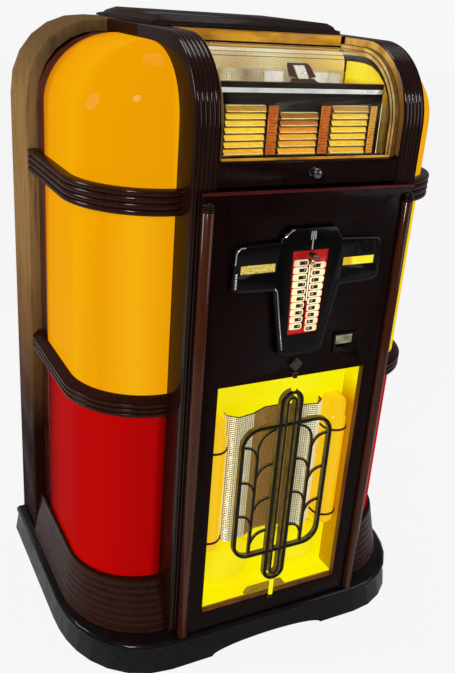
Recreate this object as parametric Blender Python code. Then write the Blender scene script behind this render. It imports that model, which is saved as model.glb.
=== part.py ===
"""Light-up floor jukebox with a bent-ply cabinet, corner pilasters and a ribbed swept fascia.

Lengths are in metres. The working frame has X to the right, Y to the back from the face of the
fascia stiles, and Z up from the floor. An empty moves that frame so that the origin lies at the
middle of the footprint.
"""
import bpy
import bmesh
from math import cos, sin, pi, radians
from mathutils import Vector

# Cabinet
GAP = 0.0005                # clearance between seated pieces
OVERRUN = 0.004             # how far a cutter runs past the face it cuts
FRONT_REACH = 0.046         # fascia face to the tip of the selector knob
FRAME_LENGTH = 0.068        # plastics to the rear cabinet
STILE_HALF = 0.2515         # centre line to the outer side of a stile
STILE_DEPTH = 0.069
STILE_RUN_END = 0.298       # where the stiles' top run meets the top board
SWEEP_RADIUS = 0.155        # fascia's turn from the front into the top
CROWN_MARGIN = 0.024        # fascia's top above the domes

# Corner pilasters
PILASTER_HALF = 0.410
PILASTER_Y = 0.230          # centre of the rounded corner in plan
PILASTER_REAR = 0.413
UPPER_LIGHT = 0.107         # straight part of the upper plastics above their band
DOME_RISE = 0.143
PLASTIC_WALL = 0.004
SIDE_ROUND_SHARE = 1.95     # exponent of the shoulder curve at the side
FRONT_ROUND_SHARE = 2.35    # exponent of the shoulder curve at the front
BASE_HEIGHT = 0.125
LOWER_LIGHT = 0.4205
LOWER_BAND_HEIGHT = 0.0445
MIDDLE_LIGHT = 0.381
UPPER_BAND_HEIGHT = 0.050
BAND_REACH = 0.020
BAND_RIB_DEPTH = 0.0045
BAND_LEDGE_DROP = 0.012

# Rear arch
FRAME_WALL = 0.0185
FRAME_EDGE = 0.0045
SHELL_REACH = 0.022         # rear cabinet's side beyond the pilasters
SHELL_LENGTH = 0.137
SHELL_WALL = 0.026
SHELL_ROUND = 0.170
SHELL_ROUND_RISE = 0.174
SHELL_ROUND_SHARE = 2.1
SHELL_EDGE = 0.004

# Base
PLINTH_HEIGHT = 0.070
PLINTH_SIDE_REACH = 0.047
PLINTH_FRONT_REACH = 0.104
PLINTH_TAPER = 0.011
PLINTH_RAIL = 0.085
ARCH_HALF = 0.150
ARCH_RISE = 0.017
BASE_SIDE_REACH = 0.030
BASE_FRONT_REACH = 0.026
BASE_RIB_DEPTH = 0.003
BOARD_THICKNESS = 0.018

# Top
TOP_BOARD_THICKNESS = 0.0225
CAP_RISE = 0.021
CAP_TOP_HALF = 0.190
CAP_FOOT_HALF = 0.228
CAP_FRONT = 0.300
CAP_TAIL_ROUND = 0.030

# Fascia reeds
REED_COUNT = 5
REED_PITCH = 0.0088
REED_MARGIN = 0.0075        # flat edges of a stile beside its reeds, together
REED_DEPTH = 0.0022
REED_CROWN = 0.0003
STILE_EDGE = 0.003

# Lid
LID_SIDE_GAP = 0.0015
LID_DOOR_GAP = 0.0045
LID_RIM = 0.008
LID_WALL = 0.018
LID_RECESS = 0.016
LID_PANEL_HEIGHT = 0.0435
LID_GLASS_WALL = 0.003
LID_RAIL_FRONT = 0.238
LID_KNOB_RISE = 0.0235
LID_KNOB_RADIUS = 0.0105
LID_KNOB_REACH = 0.022

# Door
DOOR_HALF = 0.238
DOOR_FLOOR_GAP = 0.004
DOOR_OVER_BAND = 0.011
DOOR_THICKNESS = 0.0155
DOOR_EDGE = 0.004
DOOR_RAIL_HEIGHT = 0.051
WINDOW_DROP = 0.056          # window's top under the escutcheon
MOULDING_X = 0.226
MOULDING_RADIUS = 0.0118
MOULDING_DROP = 0.034
FINIAL_RISE = 0.018

# Grille casting
LOOP_HALF = 0.0235
LOOP_RISE = 0.052
LOOP_DROP = 0.035
INNER_LOOP_INSET = 0.0135
LOOP_BAR = 0.0095
LOOP_DEPTH = 0.016
FRAME_HALF = 0.110
FRAME_RISE = 0.131
FRAME_DROP = 0.113
FRAME_CORNER = 0.040
FRAME_BAR = 0.0090
FRAME_DEPTH = 0.014
CASTING_SINK = 0.008         # how far the casting reaches into the window opening
STEM_X = 0.0685
STEM_TOP_DROP = 0.065
STEM_BAR = 0.0075
STEM_DEPTH = 0.0075
LEAF_BAR = 0.0055
LEAF_DEPTH = 0.0065
LEAF_PITCH_SHARE = 0.2665
LEAF_RISE = 0.036
LEAF_DROP = 0.009            # frame's top to the end of the first inner leaf
OUTER_LEAF_DROP = 0.0345     # from there to the end of the first outer leaf
LEAF_BOW_SHARE = 0.22
LEAF_COUNT = 4
LUG_WIDTH = 0.010
LUG_DEPTH = 0.005
LUG_LAP = 0.010

# Grille light box
BOX_SWING_GAP = 0.010
BOX_MARGIN_Z = 0.007
BOX_DEPTH = 0.062
BOX_WALL = 0.003
WINDOW_LAP = 0.011
PILLAR_RADIUS = 0.0285
PILLAR_RISE = 0.148
PILLAR_DROP = 0.097
PILLAR_RING = 0.003
PILLAR_RING_HEIGHT = 0.007
PILLAR_CROWN = 0.044        # narrower part above the shoulder
PILLAR_CROWN_STEP = 0.005
PILLAR_Y = 0.005
MESH_GAP = 0.0015
MESH_RETURN = 0.026
MESH_DROP = 0.101
MESH_WALL = 0.002
MESH_FRONT = 0.024
MOUND_RADIUS = 0.074
MOUND_X = 0.095
MOUND_DEPTH = 0.038

# Escutcheon and selector
PLATE_DROP = 0.099
PLATE_HEAD_RISE = 0.025
PLATE_HEAD_HALF = 0.062
PLATE_WING_HALF = 0.170
PLATE_WING_HEIGHT = 0.098
PLATE_BODY_HALF = 0.078
PLATE_FOOT_HALF = 0.050
PLATE_HEIGHT = 0.246
PLATE_THICKNESS = 0.010
PLATE_EDGE = 0.003
PLATE_SEAT = 0.0004
SCALE_DROP = 0.021
SCALE_HEIGHT = 0.179
SCALE_TOP_HALF = 0.042
SCALE_FOOT_HALF = 0.036
SCALE_THICKNESS = 0.004
SCALE_LIFT = 0.003
SLOT_HALF = 0.0035
SLOT_MARGIN = 0.006
TAB_COUNT = 10
TAB_PITCH = 0.0150
TAB_HEIGHT = 0.0062
TAB_RISE = 0.0025
TAB_DROP = 0.022
TAB_INNER = 0.0065
TAB_OUTER_MARGIN = 0.005
SELECTOR_DROP = 0.010
SELECTOR_TRAVEL = 0.153
SELECTOR_PUSH = 0.0035
CARRIAGE_HALF = 0.009
CARRIAGE_THICKNESS = 0.006
STEM_RADIUS = 0.0022
STEM_CLEARANCE = 0.0006
SELECTOR_KNOB_RADIUS = 0.0075
SELECTOR_KNOB_LENGTH = 0.016
LABEL_X = 0.1165
LABEL_HALF = 0.0385
LABEL_DROP = 0.051
LABEL_HEIGHT = 0.018
LABEL_RECESS = 0.003
COIN_SLOT_X = 0.128
COIN_SLOT_PITCH = 0.022
COIN_SLOT_HEIGHT = 0.024
COIN_SLOT_WIDTH = 0.0024
COIN_SLOT_DROP = 0.025

# Coin return and door lock
RETURN_X = 0.114
RETURN_RISE = 0.065
RETURN_HALF = 0.024
RETURN_HEIGHT = 0.040
RETURN_RIM = 0.004
RETURN_DEPTH = 0.030
RETURN_WALL = 0.002
FLAP_THICKNESS = 0.0016
FLAP_CLEARANCE = 0.0008
LOCK_RISE = 0.029
LOCK_RADIUS = 0.0095
LOCK_LENGTH = 0.026
LOCK_REACH = 0.004
KEYWAY_WIDTH = 0.0016
KEYWAY_DEPTH = 0.0025

# Title rack and display bay
CHEEK_GAP = 0.0025
RACK_BACK_Y = 0.060
RACK_BACK_THICKNESS = 0.012
TITLE_HEIGHT = 0.105
RAIL_HEIGHT = 0.024
TITLE_FRONT_Y = 0.040
TITLE_WIDTH = 0.088
TITLE_SPACING_SHARE = 0.264
TITLE_RISE = 0.007
TITLE_PITCH = 0.0128
TITLE_COUNTS = (7, 6, 7)
TITLE_LIP = 0.0045
LEDGE_HEIGHT = 0.010
CHROME_HEIGHT = 0.0085
CHROME_DEPTH = 0.006
CHROME_RISE = 0.006
CHEEK_WALL = 0.012
CHEEK_REAR = 0.200
CHEEK_ROUND = 0.108
SCREEN_WALL = 0.0025
LAMP_WIDTH = 0.066
LAMP_HEIGHT = 0.032
LAMP_LEAN = 0.035

# Record changer
DECK_DROP = 0.001
DECK_TONGUE_Y = 0.034
STACK_SIDE_GAP = 0.210
STACK_Y = 0.430
STACK_COUNT = 10
DISC_RADIUS = 0.127
DISC_WALL = 0.0032
STACK_FOOT = 0.024
STACK_POST_RADIUS = 0.020
TURNTABLE_X = 0.040
TURNTABLE_Y = 0.345
TURNTABLE_RADIUS = 0.080
TURNTABLE_WALL = 0.010
LIFT_RADIUS = 0.014
LIFT_TRAVEL = 0.065
LIFT_BASE_RADIUS = 0.040
LIFT_GRIP = 0.025
TRAY_RISE = 0.194
TRAY_WALL = 0.004
TRAY_INNER = 0.095
TRAY_BORE = 0.006
TRAY_ARM_HALF = 0.010
TRAY_REACH_BACK = 0.160
TRAY_POST_RADIUS = 0.007
ARM_X = 0.215
ARM_Y = 0.330
ARM_RISE = 0.033
ARM_LENGTH = 0.190
ARM_HALF = 0.006
ARM_HEAD_HALF = 0.011
ARM_HEAD_LENGTH = 0.034
ARM_POST_RADIUS = 0.010
MOTOR_SIDE_GAP = 0.160
MOTOR_Y = 0.470
MOTOR_RADIUS = 0.048
MOTOR_HEIGHT = 0.085

# Sound and coin works
BAFFLE_THICKNESS = 0.012
BAFFLE_INSET = 0.0025
BAFFLE_RISE = 0.019
SPEAKER_RADIUS = 0.125
SPEAKER_LIP = 0.012
SPEAKER_DEPTH = 0.105
SPEAKER_WALL = 0.003
MAGNET_RADIUS = 0.045
AMPLIFIER_HALF = 0.150
AMPLIFIER_Y = 0.440
AMPLIFIER_DEPTH = 0.150
AMPLIFIER_HEIGHT = 0.060
TUBE_RADIUS = 0.016
TUBE_HEIGHT = 0.085
TUBE_COUNT = 4
TRANSFORMER_SIDE = 0.075
CASH_HALF = 0.060
CASH_X = -0.180
CASH_Y = 0.250
CASH_DEPTH = 0.120
CASH_HEIGHT = 0.110
CASH_WALL = 0.002
MECH_HALF = 0.060
MECH_X = 0.105
MECH_HEIGHT = 0.190
MECH_DROP = 0.013
MECH_DEPTH = 0.034

# Rear panel
PANEL_THICKNESS = 0.0115
PANEL_INSET = 0.006
VENT_COUNT = 6
VENT_PITCH = 0.026
VENT_HEIGHT = 0.010
VENT_HALF = 0.110
VENT_DROP = 0.114
VENT_RISE = 0.330

# Smoothness of round forms
CORNER_STEPS = 8
DOME_STEPS = 6
SWEEP_STEPS = 9
TURN_STEPS = 20
SMALL_TURN_STEPS = 14
SMOOTH_ANGLE = radians(32)

BASE_TOP_Z = PLINTH_HEIGHT + BASE_HEIGHT
LOWER_BAND_Z = BASE_TOP_Z + LOWER_LIGHT
UPPER_BAND_Z = LOWER_BAND_Z + LOWER_BAND_HEIGHT + MIDDLE_LIGHT
UPPER_BAND_TOP_Z = UPPER_BAND_Z + UPPER_BAND_HEIGHT
DOME_START_Z = UPPER_BAND_TOP_Z + UPPER_LIGHT
TOP_Z = DOME_START_Z + DOME_RISE + CROWN_MARGIN
SWEEP_Z = TOP_Z - SWEEP_RADIUS
SHELL_TOP_Z = TOP_Z - GAP
SHELL_HALF = PILASTER_HALF + SHELL_REACH
SHELL_FRONT = PILASTER_REAR + FRAME_LENGTH
SHELL_REAR = SHELL_FRONT + SHELL_LENGTH
DEPTH_BEHIND = SHELL_REAR + GAP + PANEL_THICKNESS
ORIGIN_Y = (DEPTH_BEHIND - FRONT_REACH) / 2
CORNER_X = STILE_HALF + GAP
CORNER_RADIUS = PILASTER_HALF - CORNER_X
STILE_WIDTH = REED_COUNT * REED_PITCH + REED_MARGIN
STILE_INNER = STILE_HALF - STILE_WIDTH
FLOOR_TOP_Z = PLINTH_HEIGHT + BOARD_THICKNESS
DECK_Z = UPPER_BAND_Z - DECK_DROP
DECK_TOP_Z = DECK_Z + BOARD_THICKNESS
DOOR_FRONT = -DOOR_THICKNESS - GAP
DOOR_BOTTOM_Z = PLINTH_HEIGHT + DOOR_FLOOR_GAP
DOOR_TOP_Z = UPPER_BAND_TOP_Z + DOOR_OVER_BAND
MOULDING_TOP_Z = DOOR_TOP_Z - MOULDING_DROP
LID_HALF = STILE_INNER - LID_SIDE_GAP
LID_REAR = STILE_RUN_END - GAP
LID_BOTTOM_Z = DOOR_TOP_Z + LID_DOOR_GAP
LID_PANEL_TOP_Z = LID_BOTTOM_Z + LID_PANEL_HEIGHT
LID_KNOB_Z = LID_BOTTOM_Z + LID_KNOB_RISE
PLATE_TOP_Z = DOOR_TOP_Z - PLATE_DROP
PLATE_HEAD_TOP_Z = PLATE_TOP_Z + PLATE_HEAD_RISE
PLATE_WING_BOTTOM_Z = PLATE_TOP_Z - PLATE_WING_HEIGHT
PLATE_BOTTOM_Z = PLATE_TOP_Z - PLATE_HEIGHT
SCALE_TOP_Z = PLATE_TOP_Z - SCALE_DROP
SCALE_BOTTOM_Z = SCALE_TOP_Z - SCALE_HEIGHT
TAB_FIRST_Z = SCALE_TOP_Z - TAB_DROP
SELECTOR_REST_Z = SCALE_TOP_Z - SELECTOR_DROP
SLOT_TOP_Z = SELECTOR_REST_Z + SLOT_MARGIN
SLOT_BOTTOM_Z = SELECTOR_REST_Z - SELECTOR_TRAVEL - SLOT_MARGIN
LABEL_Z = PLATE_TOP_Z - LABEL_DROP
COIN_SLOT_Z = PLATE_TOP_Z - COIN_SLOT_DROP
WINDOW_BOTTOM_Z = DOOR_BOTTOM_Z + DOOR_RAIL_HEIGHT
WINDOW_TOP_Z = PLATE_BOTTOM_Z - WINDOW_DROP
RETURN_Z = WINDOW_TOP_Z + RETURN_RISE
LOCK_Z = WINDOW_TOP_Z + LOCK_RISE
LOOP_BOTTOM_Z = WINDOW_BOTTOM_Z + LOOP_RISE
LOOP_TOP_Z = WINDOW_TOP_Z - LOOP_DROP
FRAME_BOTTOM_Z = WINDOW_BOTTOM_Z + FRAME_RISE
FRAME_TOP_Z = WINDOW_TOP_Z - FRAME_DROP
LEAF_PITCH = (FRAME_TOP_Z - FRAME_BOTTOM_Z) * LEAF_PITCH_SHARE
PILLAR_BOTTOM_Z = WINDOW_BOTTOM_Z + PILLAR_RISE
PILLAR_TOP_Z = WINDOW_TOP_Z - PILLAR_DROP
MESH_TOP_Z = WINDOW_TOP_Z - MESH_DROP
TITLE_BOTTOM_Z = LID_PANEL_TOP_Z + TITLE_RISE
RACK_TOP_Z = TITLE_BOTTOM_Z + TITLE_HEIGHT
CHROME_Z = RACK_TOP_Z + CHROME_RISE
TRAY_Z = DECK_TOP_Z + TRAY_RISE
ARM_Z = TRAY_Z + ARM_RISE
DISC_PITCH = (TRAY_RISE - STACK_FOOT) / STACK_COUNT
RACK_HALF = STILE_INNER - CHEEK_GAP - CHEEK_WALL - GAP
TITLE_STRIP_GAP = (RACK_HALF * 2 - len(TITLE_COUNTS) * TITLE_WIDTH) * TITLE_SPACING_SHARE
BOX_HALF = STILE_INNER - BOX_SWING_GAP
WINDOW_HALF = BOX_HALF - WINDOW_LAP
PILLAR_X = BOX_HALF - BOX_WALL - PILLAR_RING - PILLAR_RADIUS - GAP
MESH_HALF = PILLAR_X - PILLAR_RADIUS - PILLAR_RING - MESH_GAP
BAFFLE_HALF = STILE_HALF - BAFFLE_INSET
STACK_X = STACK_SIDE_GAP - PILASTER_HALF
MOTOR_X = PILASTER_HALF - MOTOR_SIDE_GAP
LIFT_BASE_HEIGHT = LIFT_TRAVEL + LIFT_GRIP
BAFFLE_TOP_Z = WINDOW_TOP_Z + BAFFLE_RISE
SPEAKER_Z = (WINDOW_BOTTOM_Z + WINDOW_TOP_Z) / 2
MECH_TOP_Z = PLATE_TOP_Z - MECH_DROP
MECH_BOTTOM_Z = MECH_TOP_Z - MECH_HEIGHT
PANEL_BOTTOM_Z = PLINTH_HEIGHT + GAP
VENT_TOP_Z = SHELL_TOP_Z - VENT_DROP
VENT_LOW_Z = PLINTH_HEIGHT + VENT_RISE


def clear_scene():
    """Take away whatever the scene holds."""
    for item in list(bpy.data.objects):
        bpy.data.objects.remove(item, do_unlink=True)


def finish(name, colour, roughness, metallic=0.0, glow=0.0):
    """A Principled material in the piece's own colour."""
    material = bpy.data.materials.new(name + "_finish")
    material.use_nodes = True
    shader = material.node_tree.nodes["Principled BSDF"]
    shader.inputs["Base Color"].default_value = (*colour, 1.0)
    shader.inputs["Roughness"].default_value = roughness
    shader.inputs["Metallic"].default_value = metallic
    shader.inputs["Emission Color"].default_value = (*colour, 1.0)
    shader.inputs["Emission Strength"].default_value = glow
    return material


def mahogany(name):
    return finish(name, (0.055, 0.018, 0.012), 0.18)


def add_empty(name, point, parent=None):
    """An empty at a point of the working frame, for joint axes and for the frame itself."""
    empty = bpy.data.objects.new(name, None)
    bpy.context.collection.objects.link(empty)
    empty.location = point
    if parent is not None:
        empty.parent = parent
        empty.location = Vector(point) - Vector(parent["place"])
    empty["place"] = tuple(point)
    return empty


def add_solid(name, vertices, faces, material, parent):
    """A closed mesh from points of the working frame, hung on its parent empty."""
    place = Vector(parent["place"])
    mesh = bpy.data.meshes.new(name)
    mesh.from_pydata([Vector(point) - place for point in vertices], [], faces)
    build = bmesh.new()
    build.from_mesh(mesh)
    bmesh.ops.remove_doubles(build, verts=build.verts, dist=GAP / 10)
    bmesh.ops.recalc_face_normals(build, faces=build.faces)
    build.to_mesh(mesh)
    build.free()
    mesh.shade_smooth()
    mesh.set_sharp_from_angle(angle=SMOOTH_ANGLE)
    solid = bpy.data.objects.new(name, mesh)
    bpy.context.collection.objects.link(solid)
    solid.data.materials.append(material)
    solid.parent = parent
    return solid


def loft(name, rings, material, parent):
    """Skin a list of equal rings and close both ends."""
    count = len(rings[0])
    vertices = [point for ring in rings for point in ring]
    faces = [tuple(range(count)), tuple(range(len(vertices) - count, len(vertices)))]
    for row in range(len(rings) - 1):
        for column in range(count):
            beside = (column + 1) % count
            faces.append((row * count + column, row * count + beside,
                          (row + 1) * count + beside, (row + 1) * count + column))
    return add_solid(name, vertices, faces, material, parent)


def block(name, low, high, material, parent):
    """A square-edged block between two corners."""
    rings = []
    for z in (low[2], high[2]):
        rings.append([(low[0], low[1], z), (high[0], low[1], z),
                      (high[0], high[1], z), (low[0], high[1], z)])
    return loft(name, rings, material, parent)


def slab(name, outline, front, back, material, parent):
    """An outline in the X-Z plane, given depth along Y."""
    rings = [[(x, y, z) for x, z in outline] for y in (front, back)]
    return loft(name, rings, material, parent)


def turned(name, profile, centre, material, parent, axis="z", steps=TURN_STEPS):
    """A profile of (radius, distance) pairs spun about an axis through the centre."""
    rings = []
    for radius, distance in profile:
        ring = []
        for step in range(steps):
            angle = 2 * pi * step / steps
            across, up = radius * cos(angle), radius * sin(angle)
            if axis == "z":
                ring.append((centre[0] + across, centre[1] + up, centre[2] + distance))
            else:
                ring.append((centre[0] + across, centre[1] + distance, centre[2] + up))
        rings.append(ring)
    return loft(name, rings, material, parent)


def tool(solid):
    """Mark a solid as a cutter or a fused member, which isn't a piece by itself."""
    solid.hide_render = True
    solid.display_type = "WIRE"
    return solid


def combine(solid, other, operation):
    """Cut or fuse another solid with an exact Boolean."""
    modifier = solid.modifiers.new(other.name, "BOOLEAN")
    modifier.operation = operation
    modifier.solver = "EXACT"
    modifier.object = tool(other)
    return solid


def combine_all(solid, others, operation):
    """Cut or fuse a whole set of solids in one exact Boolean."""
    group = bpy.data.collections.new(solid.name + "_members")
    bpy.context.scene.collection.children.link(group)
    for other in others:
        bpy.context.collection.objects.unlink(other)
        group.objects.link(tool(other))
    modifier = solid.modifiers.new(group.name, "BOOLEAN")
    modifier.operation = operation
    modifier.solver = "EXACT"
    modifier.operand_type = "COLLECTION"
    modifier.collection = group
    return solid


def soften(solid, width, segments=2):
    """Round the solid's sharp edges."""
    bevel = solid.modifiers.new("edge", "BEVEL")
    bevel.width = width
    bevel.segments = segments
    bevel.limit_method = "ANGLE"
    bevel.angle_limit = radians(50)
    return solid


def shoulder(part, exponent):
    """Height of the shoulder curve, as a share of its rise, at a share of its reach."""
    return (1 - part ** exponent) ** (1 / exponent)


def corner_point(side, angle, reach, front_reach=0.0):
    """A point of the pilaster's plan at an angle from the side towards the front."""
    radius = CORNER_RADIUS + reach + front_reach * sin(angle) ** 2
    return side * (CORNER_X + radius * cos(angle)), PILASTER_Y - radius * sin(angle)


def corner_sweep(name, side, section, rear, material, parent):
    """A section of (reach, front reach, height) rows swept from the rear round the corner."""
    rings = [[(side * (PILASTER_HALF + reach), rear, z) for reach, _, z in section]]
    for step in range(CORNER_STEPS + 1):
        angle = pi / 2 * step / CORNER_STEPS
        rings.append([(*corner_point(side, angle, reach, front), z) for reach, front, z in section])
    return loft(name, rings, material, parent)


def plan_outline(reach, front_reach, rear):
    """The whole cabinet's plan, from the rear left round the front to the rear right."""
    left = [(-(PILASTER_HALF + reach), rear)]
    for step in range(CORNER_STEPS + 1):
        left.append(corner_point(-1, pi / 2 * step / CORNER_STEPS, reach, front_reach))
    right = [(-x, y) for x, y in reversed(left)]
    return left + right


def arch_outline(half, top, round_x, round_z, exponent, foot):
    """The arch of the rear cabinet in the X-Z plane, from the left foot to the right foot."""
    centre_x, centre_z = half - round_x, top - round_z
    left = [(-half, foot)]
    for step in range(DOME_STEPS + 1):
        part = cos(pi / 2 * step / DOME_STEPS)
        left.append((-(centre_x + round_x * part), centre_z + round_z * shoulder(part, exponent)))
    return left + [(-x, z) for x, z in reversed(left)]


def fascia_point(part, depth):
    """A point of the swept fascia: (y, z) at a share of the turn and a depth under its face."""
    angle = pi / 2 * part
    radius = SWEEP_RADIUS - depth
    return SWEEP_RADIUS - radius * cos(angle), SWEEP_Z + radius * sin(angle)


def fascia_sweep(name, section, start_z, end_y, material, parent):
    """A section of (x, depth) pairs swept up the front, over the turn and back along the top."""
    rings = [[(x, depth, start_z) for x, depth in section]]
    for step in range(SWEEP_STEPS + 1):
        part = step / SWEEP_STEPS
        rings.append([(x, *fascia_point(part, depth)) for x, depth in section])
    rings.append([(x, end_y, TOP_Z - depth) for x, depth in section])
    return loft(name, rings, material, parent)


def make_plinth(parent):
    """Flared toe frame under the whole cabinet, arched at the front."""
    rings = []
    tiers_share = ((0.0, 0.0), (0.78, 0.85), (0.80, 0.40), (0.92, 0.40), (1.0, 0.95))
    for height_share, taper_share in tiers_share:
        inset = PLINTH_TAPER * taper_share
        outline = plan_outline(PLINTH_SIDE_REACH - inset,
                               PLINTH_FRONT_REACH - PLINTH_SIDE_REACH - inset, SHELL_REAR)
        rings.append([(x, y, PLINTH_HEIGHT * height_share) for x, y in outline])
    plinth = loft("plinth", rings, finish("plinth", (0.012, 0.010, 0.010), 0.35), parent)
    inner_half = PILASTER_HALF - PLINTH_RAIL + PLINTH_SIDE_REACH
    hollow = block("plinth_hollow", (-inner_half, PLINTH_RAIL, -OVERRUN),
                   (inner_half, SHELL_REAR - PLINTH_RAIL, PLINTH_HEIGHT - OVERRUN),
                   plinth.active_material, parent)
    outline = plan_outline(-FRAME_WALL - GAP, 0.0, SHELL_REAR - OVERRUN)
    floor = loft("floor_board", [[(x, y, z) for x, y in outline]
                                 for z in (PLINTH_HEIGHT - OVERRUN / 2, FLOOR_TOP_Z)],
                 plinth.active_material, parent)
    arch = [(ARCH_HALF, -OVERRUN)]
    for step in range(SMALL_TURN_STEPS + 1):
        angle = pi * step / SMALL_TURN_STEPS
        arch.append((ARCH_HALF * cos(angle), ARCH_RISE * sin(angle)))
    arch.append((-ARCH_HALF, -OVERRUN))
    mouth = slab("plinth_arch", arch, -PLINTH_FRONT_REACH, PLINTH_RAIL + OVERRUN,
                 plinth.active_material, parent)
    combine(plinth, hollow, "DIFFERENCE")
    combine(plinth, mouth, "DIFFERENCE")
    combine(plinth, floor, "UNION")


def make_deck(parent):
    """Deck cut to the cabinet's plan, with the changer's socket and posts standing on it."""
    paint = finish("mechanism_deck", (0.16, 0.13, 0.10), 0.55)
    left = plan_outline(-FRAME_WALL - GAP, 0.0, SHELL_REAR - GAP)
    half = len(left) // 2
    tongue_x = STILE_INNER - GAP
    tongue = [(-tongue_x, left[half - 1][1]), (-tongue_x, DECK_TONGUE_Y),
              (tongue_x, DECK_TONGUE_Y), (tongue_x, left[half][1])]
    deck_line = left[:half] + tongue + left[half:]
    deck = loft("mechanism_deck", [[(x, y, z) for x, y in deck_line] for z in (DECK_Z, DECK_TOP_Z)],
                paint, parent)
    sunk = DECK_TOP_Z - OVERRUN
    centre = (TURNTABLE_X, TURNTABLE_Y, DECK_TOP_Z)
    socket = turned("lift_socket", [(LIFT_BASE_RADIUS, -OVERRUN), (LIFT_BASE_RADIUS, LIFT_BASE_HEIGHT / 4),
                                    (LIFT_RADIUS * 1.8, LIFT_BASE_HEIGHT / 2),
                                    (LIFT_RADIUS * 1.8, LIFT_BASE_HEIGHT)],
                    centre, paint, parent, steps=SMALL_TURN_STEPS)
    pivot = tray_pivot()
    rise = TRAY_Z - GAP - sunk
    radius = TRAY_POST_RADIUS
    tray_post = turned("tray_post", [(radius * 2.2, 0.0), (radius * 2.2, STACK_FOOT / 2),
                                     (radius * 1.5, STACK_FOOT), (radius * 1.5, rise), (radius, rise),
                                     (radius, rise + TRAY_WALL * 3)],
                       (pivot.x, pivot.y, sunk), paint, parent, steps=SMALL_TURN_STEPS)
    radius = ARM_POST_RADIUS
    arm_post = turned("arm_post", [(radius * 1.8, 0.0), (radius * 1.8, STACK_FOOT / 2),
                                   (radius, STACK_FOOT), (radius, ARM_Z - GAP - sunk)],
                      (ARM_X, ARM_Y, sunk), paint, parent, steps=SMALL_TURN_STEPS)
    combine_all(deck, [socket, tray_post, arm_post], "UNION")
    bore = turned("socket_bore", [(LIFT_RADIUS + GAP, OVERRUN / 2),
                                  (LIFT_RADIUS + GAP, LIFT_BASE_HEIGHT + OVERRUN)],
                  centre, paint, parent, steps=SMALL_TURN_STEPS)
    combine(deck, bore, "DIFFERENCE")


def make_stile(side, parent, label):
    """Reeded stile that runs up the front and sweeps back over the top."""
    outer = STILE_HALF * side
    section = [(outer, STILE_DEPTH), (outer, STILE_EDGE), (outer - side * STILE_EDGE / 2, REED_CROWN)]
    reeds_start = STILE_HALF - REED_MARGIN / 2
    for reed in range(REED_COUNT):
        edge = reeds_start - reed * REED_PITCH
        section.append((side * edge, REED_DEPTH))
        section.append((side * (edge - REED_PITCH / 3), REED_CROWN))
        section.append((side * (edge - REED_PITCH * 2 / 3), REED_CROWN))
    section.append((side * (reeds_start - REED_COUNT * REED_PITCH), REED_DEPTH))
    section.append((side * (STILE_INNER + STILE_EDGE / 2), REED_CROWN))
    section.append((side * STILE_INNER, STILE_EDGE))
    section.append((side * STILE_INNER, STILE_DEPTH))
    name = "stile_" + label
    fascia_sweep(name, section, PLINTH_HEIGHT + GAP, STILE_RUN_END, mahogany(name), parent)


def dome_grid(side, inset):
    """Rows of points over a pilaster's domed top, from its foot to its crown."""
    radius, rise = CORNER_RADIUS - inset, DOME_RISE - inset
    stations = [None] + [pi / 2 * step / CORNER_STEPS for step in range(CORNER_STEPS + 1)]
    foot_z = UPPER_BAND_Z + UPPER_BAND_HEIGHT / 2 + GAP
    rows = []
    for row in range(DOME_STEPS + 2):
        part = 1.0 if row == 0 else cos(pi / 2 * (row - 1) / DOME_STEPS)
        points = []
        for angle in stations:
            turn = 0.0 if angle is None else angle
            exponent = SIDE_ROUND_SHARE + (FRONT_ROUND_SHARE - SIDE_ROUND_SHARE) * sin(turn) ** 2
            z = foot_z if row == 0 else DOME_START_Z + rise * shoulder(part, exponent)
            y = PILASTER_REAR if angle is None else PILASTER_Y - radius * part * sin(turn)
            points.append((side * (CORNER_X + radius * part * cos(turn)), y, z))
        rows.append(points)
    return rows


def make_dome(side, parent, label):
    """Upper pilaster plastic: a corner wall that closes over in a soft dome."""
    outer, inner = dome_grid(side, 0.0), dome_grid(side, PLASTIC_WALL)
    rows, columns = len(outer), len(outer[0])
    vertices = [point for grid in (outer, inner) for row in grid for point in row]
    shift = rows * columns
    faces = []
    for row in range(rows - 1):
        for column in range(columns - 1):
            near = row * columns + column
            quad = (near, near + 1, near + columns + 1, near + columns)
            faces.append(quad)
            faces.append(tuple(index + shift for index in reversed(quad)))
    edge = [(0, column) for column in range(columns)]
    edge += [(row, columns - 1) for row in range(1, rows)]
    edge += [(rows - 1, column) for column in range(columns - 2, -1, -1)]
    edge += [(row, 0) for row in range(rows - 2, -1, -1)]
    for first, second in zip(edge, edge[1:]):
        start, stop = first[0] * columns + first[1], second[0] * columns + second[1]
        faces.append((start, stop, stop + shift, start + shift))
    name = "upper_plastic_" + label
    add_solid(name, vertices, faces, finish(name, (0.90, 0.42, 0.02), 0.12, glow=0.6), parent)


def make_plastic(name, side, low, high, colour, parent):
    """Bent translucent panel between two heights of a pilaster."""
    section = [(-PLASTIC_WALL, 0.0, low), (0.0, 0.0, low), (0.0, 0.0, high),
               (-PLASTIC_WALL, 0.0, high)]
    corner_sweep(name, side, section, PILASTER_REAR, finish(name, colour, 0.12, glow=0.6), parent)


def ribbed_rows(low, high, count, reach, depth, lean=0.0):
    """Rows of a moulded face with rounded ribs between two heights."""
    rows = []
    pitch = (high - low) / count
    for rib in range(count):
        base = low + rib * pitch
        out = reach - lean * (base - low) / (high - low)
        rows.append((out - depth, base + pitch * 0.06))
        rows.append((out - depth * 0.2, base + pitch * 0.25))
        rows.append((out, base + pitch * 0.55))
        rows.append((out - depth * 0.2, base + pitch * 0.80))
    rows.append((reach - lean - depth, high - pitch * 0.04))
    return rows


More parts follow.
